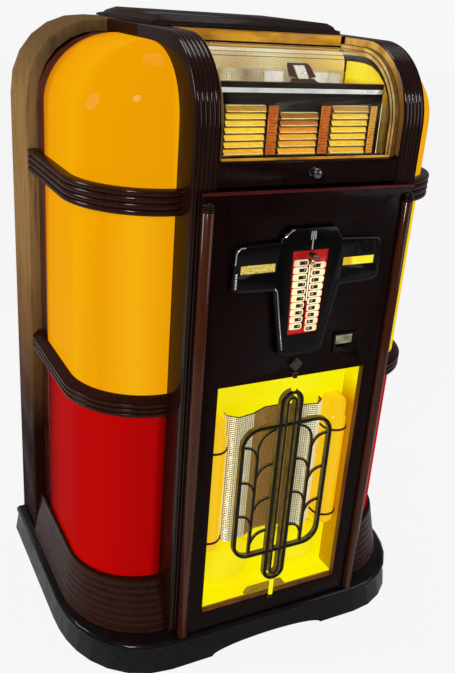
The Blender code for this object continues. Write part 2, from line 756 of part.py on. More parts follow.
def make_bands(side, parent, label):
    """Ribbed wooden bands that cover the joints between the plastics."""
    name = "upper_band_" + label
    rows = ribbed_rows(UPPER_BAND_Z, UPPER_BAND_Z + UPPER_BAND_HEIGHT, 4, BAND_REACH, BAND_RIB_DEPTH)
    section = [(GAP, 0.0, UPPER_BAND_Z)] + [(out, 0.0, z) for out, z in rows]
    section.append((GAP, 0.0, UPPER_BAND_Z + UPPER_BAND_HEIGHT))
    corner_sweep(name, side, section, SHELL_FRONT - GAP, mahogany(name), parent)
    name = "lower_band_" + label
    top = LOWER_BAND_Z + LOWER_BAND_HEIGHT
    rows = ribbed_rows(LOWER_BAND_Z, top - BAND_LEDGE_DROP, 3, BAND_REACH, BAND_RIB_DEPTH)
    section = [(GAP, 0.0, LOWER_BAND_Z)] + [(out, 0.0, z) for out, z in rows]
    section.append((BAND_REACH * 0.92, 0.0, top - BAND_LEDGE_DROP * 0.85))
    section.append((GAP, 0.0, top))
    corner_sweep(name, side, section, SHELL_FRONT - GAP, mahogany(name), parent)


def make_base_corner(side, parent, label):
    """Flared, ribbed block under each pilaster."""
    name = "base_corner_" + label
    foot, top = PLINTH_HEIGHT + GAP, BASE_TOP_Z - GAP
    height = top - foot
    section = [(-FRAME_WALL, 0.0, foot), (BASE_SIDE_REACH, BASE_FRONT_REACH, foot)]
    groups_share = ((0.30, 0.66, 4, 0.93), (0.78, 0.97, 2, 0.62))
    for low_share, high_share, count, reach_share in groups_share:
        rows = ribbed_rows(foot + height * low_share, foot + height * high_share, count,
                           BASE_SIDE_REACH * reach_share, BASE_RIB_DEPTH)
        for out, z in rows:
            share = (top - z) / height
            section.append((out, BASE_FRONT_REACH * share, z))
    section.append((-FRAME_WALL, 0.0, top))
    corner_sweep(name, side, section, SHELL_FRONT - GAP, mahogany(name), parent)


def make_rear_frame(side, parent, label):
    """Glossy arched frame between the plastics and the rear cabinet."""
    front, back = PILASTER_REAR + GAP, SHELL_FRONT - GAP
    width = back - front
    section = [(FRAME_WALL, front), (FRAME_EDGE, front), (FRAME_EDGE / 4, front + width / 5),
               (0.0, front + width / 2), (FRAME_EDGE / 4, back - width / 5), (FRAME_EDGE, back),
               (FRAME_WALL, back)]
    rings = [[(side * (PILASTER_HALF - depth), y, BASE_TOP_Z) for depth, y in section]]
    for step in range(DOME_STEPS + 1):
        part = cos(pi / 2 * step / DOME_STEPS)
        ring = []
        for depth, y in section:
            x = side * (CORNER_X + (CORNER_RADIUS - depth) * part)
            rise = (DOME_RISE - depth) * shoulder(part, SIDE_ROUND_SHARE)
            ring.append((x, y, DOME_START_Z + rise))
        rings.append(ring)
    name = "rear_frame_" + label
    loft(name, rings, finish(name, (0.16, 0.03, 0.012), 0.12), parent)


def make_shell(parent):
    """Bent-ply rear cabinet: one arch from foot to foot."""
    outer = arch_outline(SHELL_HALF, SHELL_TOP_Z, SHELL_ROUND, SHELL_ROUND_RISE,
                         SHELL_ROUND_SHARE, PLINTH_HEIGHT + GAP)
    inner = arch_outline(SHELL_HALF - SHELL_WALL, SHELL_TOP_Z - SHELL_WALL,
                         SHELL_ROUND - SHELL_WALL, SHELL_ROUND_RISE - SHELL_WALL,
                         SHELL_ROUND_SHARE, PLINTH_HEIGHT + GAP)
    rings = []
    for (outer_x, outer_z), (inner_x, inner_z) in zip(outer, inner):
        share = SHELL_EDGE / SHELL_WALL
        edge_x = outer_x + (inner_x - outer_x) * share
        edge_z = outer_z + (inner_z - outer_z) * share
        rings.append([(inner_x, SHELL_FRONT, inner_z), (edge_x, SHELL_FRONT, edge_z),
                      (outer_x, SHELL_FRONT + SHELL_EDGE, outer_z),
                      (outer_x, SHELL_REAR, outer_z), (inner_x, SHELL_REAR, inner_z)])
    loft("cabinet_shell", rings, finish("cabinet_shell", (0.13, 0.075, 0.045), 0.22), parent)


def make_back_panel(parent):
    """Removable rear panel with two groups of vents."""
    outline = arch_outline(SHELL_HALF - PANEL_INSET, SHELL_TOP_Z - PANEL_INSET, SHELL_ROUND,
                           SHELL_ROUND_RISE, SHELL_ROUND_SHARE, PANEL_BOTTOM_Z)
    front = SHELL_REAR + GAP
    panel = slab("back_panel", outline, front, front + PANEL_THICKNESS,
                 finish("back_panel", (0.10, 0.06, 0.035), 0.6), parent)
    vents = []
    for start in (VENT_TOP_Z, VENT_LOW_Z):
        for row in range(VENT_COUNT):
            z = start - row * VENT_PITCH
            vents.append(block("vent", (-VENT_HALF, SHELL_REAR - OVERRUN, z - VENT_HEIGHT),
                               (VENT_HALF, DEPTH_BEHIND + OVERRUN, z),
                               panel.active_material, parent))
    combine_all(panel, vents, "DIFFERENCE")


def make_top(parent):
    """Top board of the centre section and the raised cap with moulded ends on it."""
    half = STILE_HALF
    block("top_board", (-half, STILE_RUN_END + GAP, TOP_Z - TOP_BOARD_THICKNESS),
          (half, SHELL_FRONT - GAP, TOP_Z - GAP), mahogany("top_board"), parent)
    steps_share = ((1.0, 0.0), (1.0, 0.30), (0.62, 0.42), (0.46, 0.70), (0.10, 0.93), (0.0, 1.0))
    base = TOP_Z
    tail = DEPTH_BEHIND - GAP
    stations = [(CAP_FRONT, 1.0), (tail - CAP_TAIL_ROUND, 1.0), (tail - CAP_TAIL_ROUND * 0.35, 0.86),
                (tail - CAP_TAIL_ROUND * 0.08, 0.5), (tail, 0.2)]
    rings = []
    for y, rise_share in stations:
        right = []
        for reach_share, height_share in steps_share:
            x = CAP_TOP_HALF + (CAP_FOOT_HALF - CAP_TOP_HALF) * reach_share
            right.append((x, base + CAP_RISE * height_share * rise_share))
        outline = right + [(-x, z) for x, z in reversed(right)]
        rings.append([(x, y, z) for x, z in outline])
    loft("cap", rings, mahogany("cap"), parent)


def make_lid(parent):
    """Lid frame with the curved window in it, swept to the fascia's own turn."""
    depth = LID_RECESS
    section = [(-LID_HALF, depth), (LID_HALF, depth), (LID_HALF, depth + LID_WALL),
               (-LID_HALF, depth + LID_WALL)]
    frame = fascia_sweep("lid_frame", section, LID_BOTTOM_Z, LID_REAR, mahogany("lid_frame"), parent)
    opening_half = LID_HALF - LID_RIM
    cut = [(-opening_half, depth - OVERRUN), (opening_half, depth - OVERRUN),
           (opening_half, depth + LID_WALL + OVERRUN), (-opening_half, depth + LID_WALL + OVERRUN)]
    opening = fascia_sweep("lid_opening", cut, LID_PANEL_TOP_Z, LID_RAIL_FRONT,
                           frame.active_material, parent)
    combine(frame, opening, "DIFFERENCE")
    lap = GAP / 3
    rail = block("lid_rail", (lap - LID_HALF, LID_RAIL_FRONT - lap,
                              TOP_Z - TOP_BOARD_THICKNESS - LID_RIM),
                 (LID_HALF - lap, LID_REAR + lap, TOP_Z - GAP), frame.active_material, parent)
    panel = block("lid_panel", (lap - LID_HALF, GAP, LID_BOTTOM_Z - lap),
                  (LID_HALF - lap, depth + LID_WALL / 2, LID_PANEL_TOP_Z + lap),
                  frame.active_material, parent)
    combine_all(frame, [rail, panel], "UNION")
    glass_half = opening_half - GAP
    glass_depth = depth + (LID_WALL - LID_GLASS_WALL) / 2
    pane = [(-glass_half, glass_depth), (glass_half, glass_depth),
            (glass_half, glass_depth + LID_GLASS_WALL), (-glass_half, glass_depth + LID_GLASS_WALL)]
    fascia_sweep("lid_window", pane, LID_PANEL_TOP_Z + GAP, LID_RAIL_FRONT - GAP,
                 finish("lid_window", (0.85, 0.85, 0.80), 0.05), parent)


def make_lid_knob(parent):
    """Round latch knob of the lid."""
    profile = [(LID_KNOB_RADIUS * 0.55, 0.0), (LID_KNOB_RADIUS * 0.55, -LID_KNOB_REACH * 0.3),
               (LID_KNOB_RADIUS, -LID_KNOB_REACH * 0.4), (LID_KNOB_RADIUS, -LID_KNOB_REACH * 0.8),
               (LID_KNOB_RADIUS * 0.7, -LID_KNOB_REACH)]
    turned("lid_knob", profile, (0.0, 0.0, LID_KNOB_Z), finish("lid_knob", (0.02, 0.02, 0.02), 0.2),
           parent, axis="y", steps=SMALL_TURN_STEPS)


def make_door(parent):
    """Door panel with its window, selector slot and coin-return opening."""
    door = block("door_panel", (-DOOR_HALF, DOOR_FRONT, DOOR_BOTTOM_Z),
                 (DOOR_HALF, -GAP, DOOR_TOP_Z), mahogany("door_panel"), parent)
    soften(door, DOOR_EDGE)
    wood = door.active_material
    deep, near = OVERRUN - GAP, DOOR_FRONT - OVERRUN
    lock_hole = LOCK_RADIUS + GAP
    cuts = [
        block("window_cut", (-WINDOW_HALF, near, WINDOW_BOTTOM_Z),
              (WINDOW_HALF, deep, WINDOW_TOP_Z), wood, parent),
        block("selector_cut", (-CARRIAGE_HALF - OVERRUN, near, SLOT_BOTTOM_Z - CARRIAGE_HALF),
              (CARRIAGE_HALF + OVERRUN, deep, SLOT_TOP_Z + CARRIAGE_HALF), wood, parent),
        block("return_cut", (RETURN_X - RETURN_HALF, near, RETURN_Z - RETURN_HEIGHT / 2),
              (RETURN_X + RETURN_HALF, deep, RETURN_Z + RETURN_HEIGHT / 2), wood, parent),
        turned("lock_cut", [(lock_hole, near), (lock_hole, deep)], (0.0, 0.0, LOCK_Z), wood, parent,
               axis="y", steps=SMALL_TURN_STEPS)]
    combine_all(door, cuts, "DIFFERENCE")


def make_moulding(side, parent, label):
    """Half-round moulding with a ringed finial at its top."""
    beads_share = ((0.0, 1.0), (0.0, 1.16), (0.22, 1.16), (0.26, 0.9), (0.32, 1.08), (0.52, 1.08),
                   (0.56, 0.84), (0.62, 0.94), (0.82, 0.90), (1.0, 0.35))
    stations = [(DOOR_BOTTOM_Z + OVERRUN, 1.0)]
    for rise_share, radius_share in beads_share:
        stations.append((MOULDING_TOP_Z + FINIAL_RISE * rise_share + GAP * len(stations) / 10,
                         radius_share))
    back = DOOR_FRONT - GAP
    rings = []
    for z, share in stations:
        radius = MOULDING_RADIUS * share
        ring = []
        for step in range(SMALL_TURN_STEPS // 2 + 1):
            angle = pi * step / (SMALL_TURN_STEPS // 2)
            ring.append((side * MOULDING_X + radius * cos(angle), back - radius * sin(angle), z))
        rings.append(ring)
    name = "moulding_" + label
    loft(name, rings, finish(name, (0.16, 0.045, 0.018), 0.2), parent)


def bar(name, route, width, depth, back, material, parent, closed=False):
    """A cast bar along a route of (x, z) points, with a chamfered front."""
    points = [Vector(point) for point in route]
    count = len(points)
    rings = []
    for index, point in enumerate(points):
        before = points[index - 1] if index or closed else point
        after = points[(index + 1) % count] if index < count - 1 or closed else point
        along = (after - before).normalized()
        across = Vector((-along.y, along.x)) * width / 2
        ring = []
        for reach_share, depth_share in ((1, 0), (1, 0.55), (0.45, 1), (-0.45, 1), (-1, 0.55), (-1, 0)):
            place = point + across * reach_share
            ring.append((place.x, back - depth * depth_share, place.y))
        rings.append(ring)
    if not closed:
        return loft(name, rings, material, parent)
    size = len(rings[0])
    vertices = [vertex for ring in rings for vertex in ring]
    faces = []
    for row in range(count):
        following = (row + 1) % count
        for column in range(size):
            beside = (column + 1) % size
            faces.append((row * size + column, row * size + beside,
                          following * size + beside, following * size + column))
    return add_solid(name, vertices, faces, material, parent)


def rounded_route(half, low, high, corner, steps):
    """A closed route round a rectangle with round corners."""
    route = []
    centres = ((half - corner, high - corner), (corner - half, high - corner),
               (corner - half, low + corner), (half - corner, low + corner))
    for quarter, (x, z) in enumerate(centres):
        for step in range(steps + 1):
            angle = pi / 2 * (quarter + step / steps)
            route.append((x + corner * cos(angle), z + corner * sin(angle)))
    return route


def leaf_route(start, end, bulge):
    """A short arc from a stem out to its neighbour, bowed upwards."""
    first, last = Vector(start), Vector(end)
    across = Vector((-(last - first).y, (last - first).x))
    route = []
    steps = 4
    for step in range(steps + 1):
        share = step / steps
        route.append(tuple(first.lerp(last, share) + across * bulge * sin(pi * share)))
    return route


def make_grille(parent):
    """Cast grille: a tall double loop, a rounded frame and two stems with curved leaves."""
    iron = finish("grille_casting", (0.02, 0.02, 0.02), 0.35, metallic=0.6)
    back = DOOR_FRONT + CASTING_SINK
    round_steps = 6
    # The end radius stays a hair under the half width, so that no two route points meet
    loop_end, inner_half = LOOP_HALF * 0.995, LOOP_HALF - INNER_LOOP_INSET
    casting = bar("grille_casting", rounded_route(LOOP_HALF, LOOP_BOTTOM_Z, LOOP_TOP_Z, loop_end,
                                                  round_steps),
                  LOOP_BAR, LOOP_DEPTH, back, iron, parent, closed=True)
    members = [
        bar("inner_loop", rounded_route(inner_half, LOOP_BOTTOM_Z + INNER_LOOP_INSET,
                                        LOOP_TOP_Z - INNER_LOOP_INSET, inner_half * 0.995, round_steps),
            LOOP_BAR * 0.8, LOOP_DEPTH * 0.94, back + GAP / 5, iron, parent, closed=True),
        bar("round_frame", rounded_route(FRAME_HALF, FRAME_BOTTOM_Z, FRAME_TOP_Z, FRAME_CORNER,
                                         round_steps),
            FRAME_BAR, FRAME_DEPTH, back + GAP / 4, iron, parent, closed=True)]
    lugs = ((LOOP_BOTTOM_Z, WINDOW_BOTTOM_Z - LUG_LAP), (LOOP_TOP_Z, WINDOW_TOP_Z + LUG_LAP))
    for near, far in lugs:
        members.append(bar("lug", [(0.0, near), (0.0, far)], LUG_WIDTH, LUG_DEPTH, DOOR_FRONT - GAP,
                           iron, parent))
    stem_top = FRAME_TOP_Z - STEM_TOP_DROP
    leaf_back = back + GAP / 2
    for side in (-1, 1):
        x = side * STEM_X
        members.append(bar("stem", [(x, FRAME_BOTTOM_Z), (x, stem_top)], STEM_BAR, STEM_DEPTH,
                           back + GAP / 3, iron, parent))
        for leaf in range(LEAF_COUNT):
            inner_z = FRAME_TOP_Z - LEAF_DROP - LEAF_PITCH * leaf
            outer_z = inner_z - OUTER_LEAF_DROP
            inward = leaf_route((x, inner_z - LEAF_RISE if leaf else stem_top),
                                (side * LOOP_HALF, inner_z), -side * LEAF_BOW_SHARE)
            members.append(bar("leaf_in", inward, LEAF_BAR, LEAF_DEPTH, leaf_back, iron, parent))
            if leaf < LEAF_COUNT - 1:
                outward = leaf_route((x, min(outer_z - LEAF_RISE, stem_top)),
                                     (side * FRAME_HALF, outer_z), side * LEAF_BOW_SHARE)
                members.append(bar("leaf_out", outward, LEAF_BAR, LEAF_DEPTH, leaf_back, iron, parent))
    return combine_all(casting, members, "UNION")


def make_grille_box(parent):
    """Shallow lit tray behind the window, with two rounded mounds at its foot."""
    low, high = WINDOW_BOTTOM_Z - BOX_MARGIN_Z, WINDOW_TOP_Z + BOX_MARGIN_Z
    tray = block("grille_light_box", (-BOX_HALF, 0.0, low), (BOX_HALF, BOX_DEPTH, high),
                 finish("grille_light_box", (0.95, 0.78, 0.02), 0.4, glow=0.6), parent)
    hollow = block("tray_hollow", (-BOX_HALF + BOX_WALL, -OVERRUN, low + BOX_WALL),
                   (BOX_HALF - BOX_WALL, BOX_DEPTH - BOX_WALL, high - BOX_WALL),
                   tray.active_material, parent)
    combine(tray, hollow, "DIFFERENCE")
    mounds = []
    for side in (-1, 1):
        profile_share = ((1.0, 0.0), (0.96, 0.35), (0.80, 0.65), (0.52, 0.88), (0.2, 1.0))
        profile = [(MOUND_RADIUS * reach, -MOUND_DEPTH * rise) for reach, rise in profile_share]
        profile.insert(0, (MOUND_RADIUS, BOX_WALL / 2))
        mounds.append(turned("mound", profile, (side * MOUND_X, BOX_DEPTH - BOX_WALL,
                                                low + BOX_WALL + MOUND_RADIUS * 1.02),
                             tray.active_material, parent, axis="y", steps=SMALL_TURN_STEPS + 2))
    combine_all(tray, mounds, "UNION")


def make_pillar(side, parent, label):
    """Half-round lit pillar with two dark rings, on the back of the tray."""
    back = BOX_DEPTH - BOX_WALL - GAP
    shoulder = PILLAR_TOP_Z - PILLAR_CROWN
    ring_low, ring_high = PILLAR_BOTTOM_Z + PILLAR_RING_HEIGHT * 3, shoulder - PILLAR_RING_HEIGHT * 4
    stations = [(PILLAR_BOTTOM_Z, 0.0)]
    for start in (ring_low, ring_high):
        stations += [(start, 0.0), (start + GAP, PILLAR_RING),
                     (start + PILLAR_RING_HEIGHT, PILLAR_RING), (start + PILLAR_RING_HEIGHT + GAP, 0.0)]
    stations += [(shoulder, 0.0), (shoulder + PILLAR_CROWN_STEP, -PILLAR_CROWN_STEP),
                 (PILLAR_TOP_Z, -PILLAR_CROWN_STEP)]
    rings = []
    steps = 8
    for z, swell in stations:
        radius = PILLAR_RADIUS + swell
        ring = [(side * PILLAR_X + radius, back, z)]
        for step in range(steps + 1):
            angle = pi * step / steps
            ring.append((side * PILLAR_X + radius * cos(angle), PILLAR_Y + PILLAR_RADIUS
                         - radius * sin(angle), z))
        ring.append((side * PILLAR_X - radius, back, z))
        rings.append(ring)
    name = "grille_pillar_" + label
    loft(name, rings, finish(name, (0.95, 0.45, 0.03), 0.2, glow=0.5), parent)


def make_speaker_mesh(parent):
    """Folded metal-cloth screen that stands in front of the tray's back."""
    back = BOX_DEPTH - BOX_WALL - GAP
    folds = ((0.0, back), (0.0, MESH_FRONT + MESH_RETURN * 0.7), (MESH_RETURN * 0.85, MESH_FRONT),
             (MESH_RETURN * 2.4, MESH_FRONT + MESH_RETURN * 0.3),
             (MESH_RETURN * 3.8, back - MESH_RETURN / 3))
    face = [(-MESH_HALF + inset, y) for inset, y in folds]
    face += [(MESH_HALF - inset, y) for inset, y in reversed(folds)]
    inner = [(-MESH_HALF + MESH_WALL + inset, min(y + MESH_WALL, back)) for inset, y in folds]
    inner += [(MESH_HALF - MESH_WALL - inset, min(y + MESH_WALL, back)) for inset, y in reversed(folds)]
    outline = face + list(reversed(inner))
    loft("speaker_mesh", [[(x, y, z) for x, y in outline] for z in (PILLAR_BOTTOM_Z, MESH_TOP_Z)],
         finish("speaker_mesh", (0.55, 0.48, 0.25), 0.4, metallic=0.8), parent)


def plate_outline():
    """Outline of the escutcheon, from the head's right corner anticlockwise."""
    corner = PLATE_EDGE * 3
    right = [(PLATE_HEAD_HALF - corner, PLATE_HEAD_TOP_Z), (PLATE_HEAD_HALF, PLATE_HEAD_TOP_Z - corner),
             (PLATE_HEAD_HALF + corner, PLATE_TOP_Z), (PLATE_WING_HALF - corner, PLATE_TOP_Z - PLATE_EDGE),
             (PLATE_WING_HALF, PLATE_TOP_Z - corner * 1.5),
             (PLATE_WING_HALF + PLATE_EDGE, PLATE_WING_BOTTOM_Z + corner),
             (PLATE_WING_HALF - corner, PLATE_WING_BOTTOM_Z),
             (PLATE_BODY_HALF, PLATE_WING_BOTTOM_Z - PLATE_EDGE),
             (PLATE_FOOT_HALF + PLATE_EDGE, PLATE_BOTTOM_Z + corner),
             (PLATE_FOOT_HALF - corner, PLATE_BOTTOM_Z)]
    return right + [(-x, z) for x, z in reversed(right)]


def scale_half(z, margin=0.0):
    """Half width of the tapered number scale at a height."""
    share = (z - SCALE_BOTTOM_Z) / (SCALE_TOP_Z - SCALE_BOTTOM_Z)
    return SCALE_FOOT_HALF + (SCALE_TOP_HALF - SCALE_FOOT_HALF) * share + margin


def make_escutcheon(parent):
    """Black cast plate that carries the scale, the label windows and the coin slots."""
    back = DOOR_FRONT - PLATE_SEAT
    front = back - PLATE_THICKNESS
    black = finish("escutcheon", (0.015, 0.014, 0.014), 0.3, metallic=0.5)
    plate = slab("escutcheon", plate_outline(), front, back, black, parent)
    soften(plate, PLATE_EDGE)
    scale = [(scale_half(z, GAP) * side, z + GAP * lift) for z, side, lift in
             ((SCALE_BOTTOM_Z, -1, -1), (SCALE_BOTTOM_Z, 1, -1), (SCALE_TOP_Z, 1, 1),
              (SCALE_TOP_Z, -1, 1))]
    cuts = [slab("scale_cut", scale, front - OVERRUN, back + OVERRUN, black, parent)]
    for side in (-1, 1):
        cuts.append(block("label_cut", (side * LABEL_X - LABEL_HALF, front - OVERRUN,
                                        LABEL_Z - LABEL_HEIGHT / 2),
                          (side * LABEL_X + LABEL_HALF, front + LABEL_RECESS,
                           LABEL_Z + LABEL_HEIGHT / 2), black, parent))
    for slot in (-1, 0, 1):
        x = COIN_SLOT_X + slot * COIN_SLOT_PITCH
        cuts.append(block("coin_slot", (x - COIN_SLOT_WIDTH / 2, front - OVERRUN,
                                        COIN_SLOT_Z - COIN_SLOT_HEIGHT / 2),
                          (x + COIN_SLOT_WIDTH / 2, back + OVERRUN,
                           COIN_SLOT_Z + COIN_SLOT_HEIGHT / 2), black, parent))
    combine_all(plate, cuts, "DIFFERENCE")


def make_number_scale(parent):
    """Tapered scale with two staggered columns of ten tabs beside its slot."""
    back = DOOR_FRONT - PLATE_SEAT - SCALE_LIFT
    front = back - SCALE_THICKNESS
    red = finish("number_scale", (0.62, 0.02, 0.02), 0.35)
    corners = [(-SCALE_FOOT_HALF, SCALE_BOTTOM_Z), (SCALE_FOOT_HALF, SCALE_BOTTOM_Z),
               (SCALE_TOP_HALF, SCALE_TOP_Z), (-SCALE_TOP_HALF, SCALE_TOP_Z)]
    scale = slab("number_scale", corners, front, back, red, parent)
    tabs = []
    for side in (-1, 1):
        for row in range(TAB_COUNT):
            z = TAB_FIRST_Z - row * TAB_PITCH - (TAB_PITCH / 2 if side > 0 else 0.0)
            outer = scale_half(z, -TAB_OUTER_MARGIN)
            low, high = sorted((side * TAB_INNER, side * outer))
            tabs.append(block("tab", (low, front - TAB_RISE, z - TAB_HEIGHT),
                              (high, front + TAB_RISE / 2, z), red, parent))
    combine_all(scale, tabs, "UNION")
    slot = block("scale_slot", (-SLOT_HALF, front - OVERRUN, SLOT_BOTTOM_Z),
                 (SLOT_HALF, back + OVERRUN, SLOT_TOP_Z), red, parent)
    combine(scale, slot, "DIFFERENCE")


def make_selector(slide, push):
    """Selector carriage that runs behind the slot, and the knob that pushes through it."""
    scale_back = DOOR_FRONT - PLATE_SEAT - SCALE_LIFT
    front = scale_back + GAP
    back = front + CARRIAGE_THICKNESS
    steel = finish("selector_carriage", (0.5, 0.5, 0.5), 0.35, metallic=1.0)
    carriage = block("selector_carriage", (-CARRIAGE_HALF, front, SELECTOR_REST_Z - CARRIAGE_HALF),
                     (CARRIAGE_HALF, back, SELECTOR_REST_Z + CARRIAGE_HALF), steel, slide)
    hole = STEM_RADIUS + STEM_CLEARANCE
    bore = turned("carriage_bore", [(hole, front - OVERRUN), (hole, back + OVERRUN)],
                  (0.0, 0.0, SELECTOR_REST_Z), steel, slide, axis="y", steps=SMALL_TURN_STEPS)
    combine(carriage, bore, "DIFFERENCE")
    tip = -FRONT_REACH
    foot = tip + SELECTOR_KNOB_LENGTH
    profile = [(STEM_RADIUS, back + SELECTOR_PUSH), (STEM_RADIUS, foot),
               (SELECTOR_KNOB_RADIUS, foot - GAP), (SELECTOR_KNOB_RADIUS, foot - OVERRUN),
               (SELECTOR_KNOB_RADIUS * 0.8, foot - OVERRUN * 1.4),
               (SELECTOR_KNOB_RADIUS * 0.9, tip + OVERRUN), (SELECTOR_KNOB_RADIUS * 0.45, tip)]
    turned("selector_knob", profile, (0.0, 0.0, SELECTOR_REST_Z),
           finish("selector_knob", (0.75, 0.62, 0.35), 0.18, metallic=1.0), push, axis="y",
           steps=SMALL_TURN_STEPS)


def make_coin_return(door, hinge):
    """Coin-return cup let into the door, and the flap that swings into it."""
    half, height = RETURN_HALF - GAP, RETURN_HEIGHT - GAP * 2
    low_z = RETURN_Z - height / 2
    rim_front = DOOR_FRONT - RETURN_RIM / 2
    chrome = finish("coin_return_cup", (0.6, 0.6, 0.6), 0.25, metallic=1.0)
    cup = block("coin_return_cup", (RETURN_X - half, DOOR_FRONT - GAP, low_z),
                (RETURN_X + half, RETURN_DEPTH + DOOR_FRONT, low_z + height), chrome, door)
    rim = block("return_rim", (RETURN_X - half - RETURN_RIM, rim_front, low_z - RETURN_RIM),
                (RETURN_X + half + RETURN_RIM, DOOR_FRONT - GAP * 0.6, low_z + height + RETURN_RIM),
                chrome, door)
    combine(cup, rim, "UNION")
    hollow = block("return_hollow", (RETURN_X - half + RETURN_WALL, rim_front - OVERRUN,
                                     low_z + RETURN_WALL),
                   (RETURN_X + half - RETURN_WALL, RETURN_DEPTH + DOOR_FRONT - RETURN_WALL,
                    low_z + height - RETURN_WALL), chrome, door)
    combine(cup, hollow, "DIFFERENCE")
    flap_half = half - RETURN_WALL - FLAP_CLEARANCE
    top = low_z + height - RETURN_WALL - FLAP_CLEARANCE
    block("coin_return_flap", (RETURN_X - flap_half, DOOR_FRONT, low_z + height * 0.42),
          (RETURN_X + flap_half, DOOR_FRONT + FLAP_THICKNESS, top),
          finish("coin_return_flap", (0.5, 0.5, 0.5), 0.3, metallic=1.0), hinge)


def make_door_lock(parent):
    """Lock barrel with a keyway, turned in the door."""
    front, back = DOOR_FRONT - LOCK_REACH, DOOR_FRONT - LOCK_REACH + LOCK_LENGTH
    steel = finish("door_lock", (0.55, 0.52, 0.45), 0.3, metallic=1.0)
    profile = [(LOCK_RADIUS * 0.85, front), (LOCK_RADIUS, front + KEYWAY_WIDTH), (LOCK_RADIUS, back)]
    lock = turned("door_lock", profile, (0.0, 0.0, LOCK_Z), steel, parent, axis="y",
                  steps=SMALL_TURN_STEPS)
    keyway = block("keyway", (-KEYWAY_WIDTH / 2, front - OVERRUN, LOCK_Z - LOCK_RADIUS / 2),
                   (KEYWAY_WIDTH / 2, front + KEYWAY_DEPTH, LOCK_Z + LOCK_RADIUS / 2), steel, parent)
    combine(lock, keyway, "DIFFERENCE")


def make_coin_mechanism(parent):
    """Coin accumulator box on the back of the door, behind the coin slots."""
    block("coin_mechanism", (MECH_X - MECH_HALF, 0.0, MECH_BOTTOM_Z),
          (MECH_X + MECH_HALF, MECH_DEPTH, MECH_TOP_Z),
          finish("coin_mechanism", (0.35, 0.35, 0.35), 0.45, metallic=0.9), parent)


def title_left(column):
    """Left edge of a title column."""
    pitch = TITLE_WIDTH + TITLE_STRIP_GAP
    return -(len(TITLE_COUNTS) * pitch) / 2 - TITLE_STRIP_GAP / 6 + column * pitch


def make_title_rack(parent):
    """Rack behind the lid window: back plate, ledge, perforated dividers and a rail on top."""
    paint = finish("title_rack", (0.05, 0.03, 0.02), 0.4)
    base = DECK_TOP_Z + GAP
    rack = block("title_rack", (-RACK_HALF, RACK_BACK_Y, base),
                 (RACK_HALF, RACK_BACK_Y + RACK_BACK_THICKNESS, RACK_TOP_Z + RAIL_HEIGHT), paint, parent)
    members = [block("title_ledge", (-RACK_HALF, TITLE_FRONT_Y - OVERRUN / 2,
                                     TITLE_BOTTOM_Z - LEDGE_HEIGHT),
                     (RACK_HALF, RACK_BACK_Y + OVERRUN, TITLE_BOTTOM_Z - GAP), paint, parent)]
    for column in range(len(TITLE_COUNTS)):
        left = title_left(column) + TITLE_WIDTH + GAP
        members.append(block("divider", (left, TITLE_FRONT_Y + OVERRUN / 2, TITLE_BOTTOM_Z - OVERRUN),
                             (left + TITLE_STRIP_GAP - GAP * 2, RACK_BACK_Y + OVERRUN,
                              TITLE_BOTTOM_Z + TITLE_PITCH * max(TITLE_COUNTS)), paint, parent))
    combine_all(rack, members, "UNION")
    bar_back = RACK_BACK_Y - GAP
    block("chrome_bar", (-RACK_HALF, bar_back - CHROME_DEPTH, CHROME_Z),
          (RACK_HALF, bar_back, CHROME_Z + CHROME_HEIGHT),
          finish("chrome_bar", (0.8, 0.8, 0.8), 0.1, metallic=1.0), parent)


def make_title_column(column, parent, label):
    """Stack of slanted title holders, one comb-shaped piece."""
    left = title_left(column)
    back = RACK_BACK_Y - GAP
    outline = [(back, TITLE_BOTTOM_Z)]
    for row in range(TITLE_COUNTS[column]):
        z = TITLE_BOTTOM_Z + row * TITLE_PITCH
        outline += [(TITLE_FRONT_Y, z), (TITLE_FRONT_Y, z + TITLE_PITCH * 0.12),
                    (TITLE_FRONT_Y + TITLE_LIP, z + TITLE_PITCH * 0.96)]
    top = TITLE_BOTTOM_Z + TITLE_COUNTS[column] * TITLE_PITCH
    outline += [(TITLE_FRONT_Y + TITLE_LIP * 1.2, top), (back, top)]
    rings = [[(x, y, z) for y, z in outline] for x in (left, left + TITLE_WIDTH)]
    name = "title_column_" + label
    loft(name, rings, finish(name, (0.95, 0.80, 0.15), 0.5, glow=0.3), parent)


def make_cheek(side, parent, label):
    """Lit side wall of the display bay, rounded like the lid window."""
    base = DECK_TOP_Z + GAP
    outline = [(CHEEK_REAR, base), (SWEEP_RADIUS - CHEEK_ROUND, base)]
    for step in range(DOME_STEPS + 1):
        angle = pi / 2 * step / DOME_STEPS
        outline.append((SWEEP_RADIUS - CHEEK_ROUND * cos(angle), SWEEP_Z + CHEEK_ROUND * sin(angle)))
    outline.append((CHEEK_REAR, SWEEP_Z + CHEEK_ROUND))
    inner = RACK_HALF + GAP
    name = "cheek_" + label
    rings = [[(side * x, y, z) for y, z in outline] for x in (inner, inner + CHEEK_WALL)]
    loft(name, rings, finish(name, (0.90, 0.62, 0.06), 0.4, glow=0.4), parent)


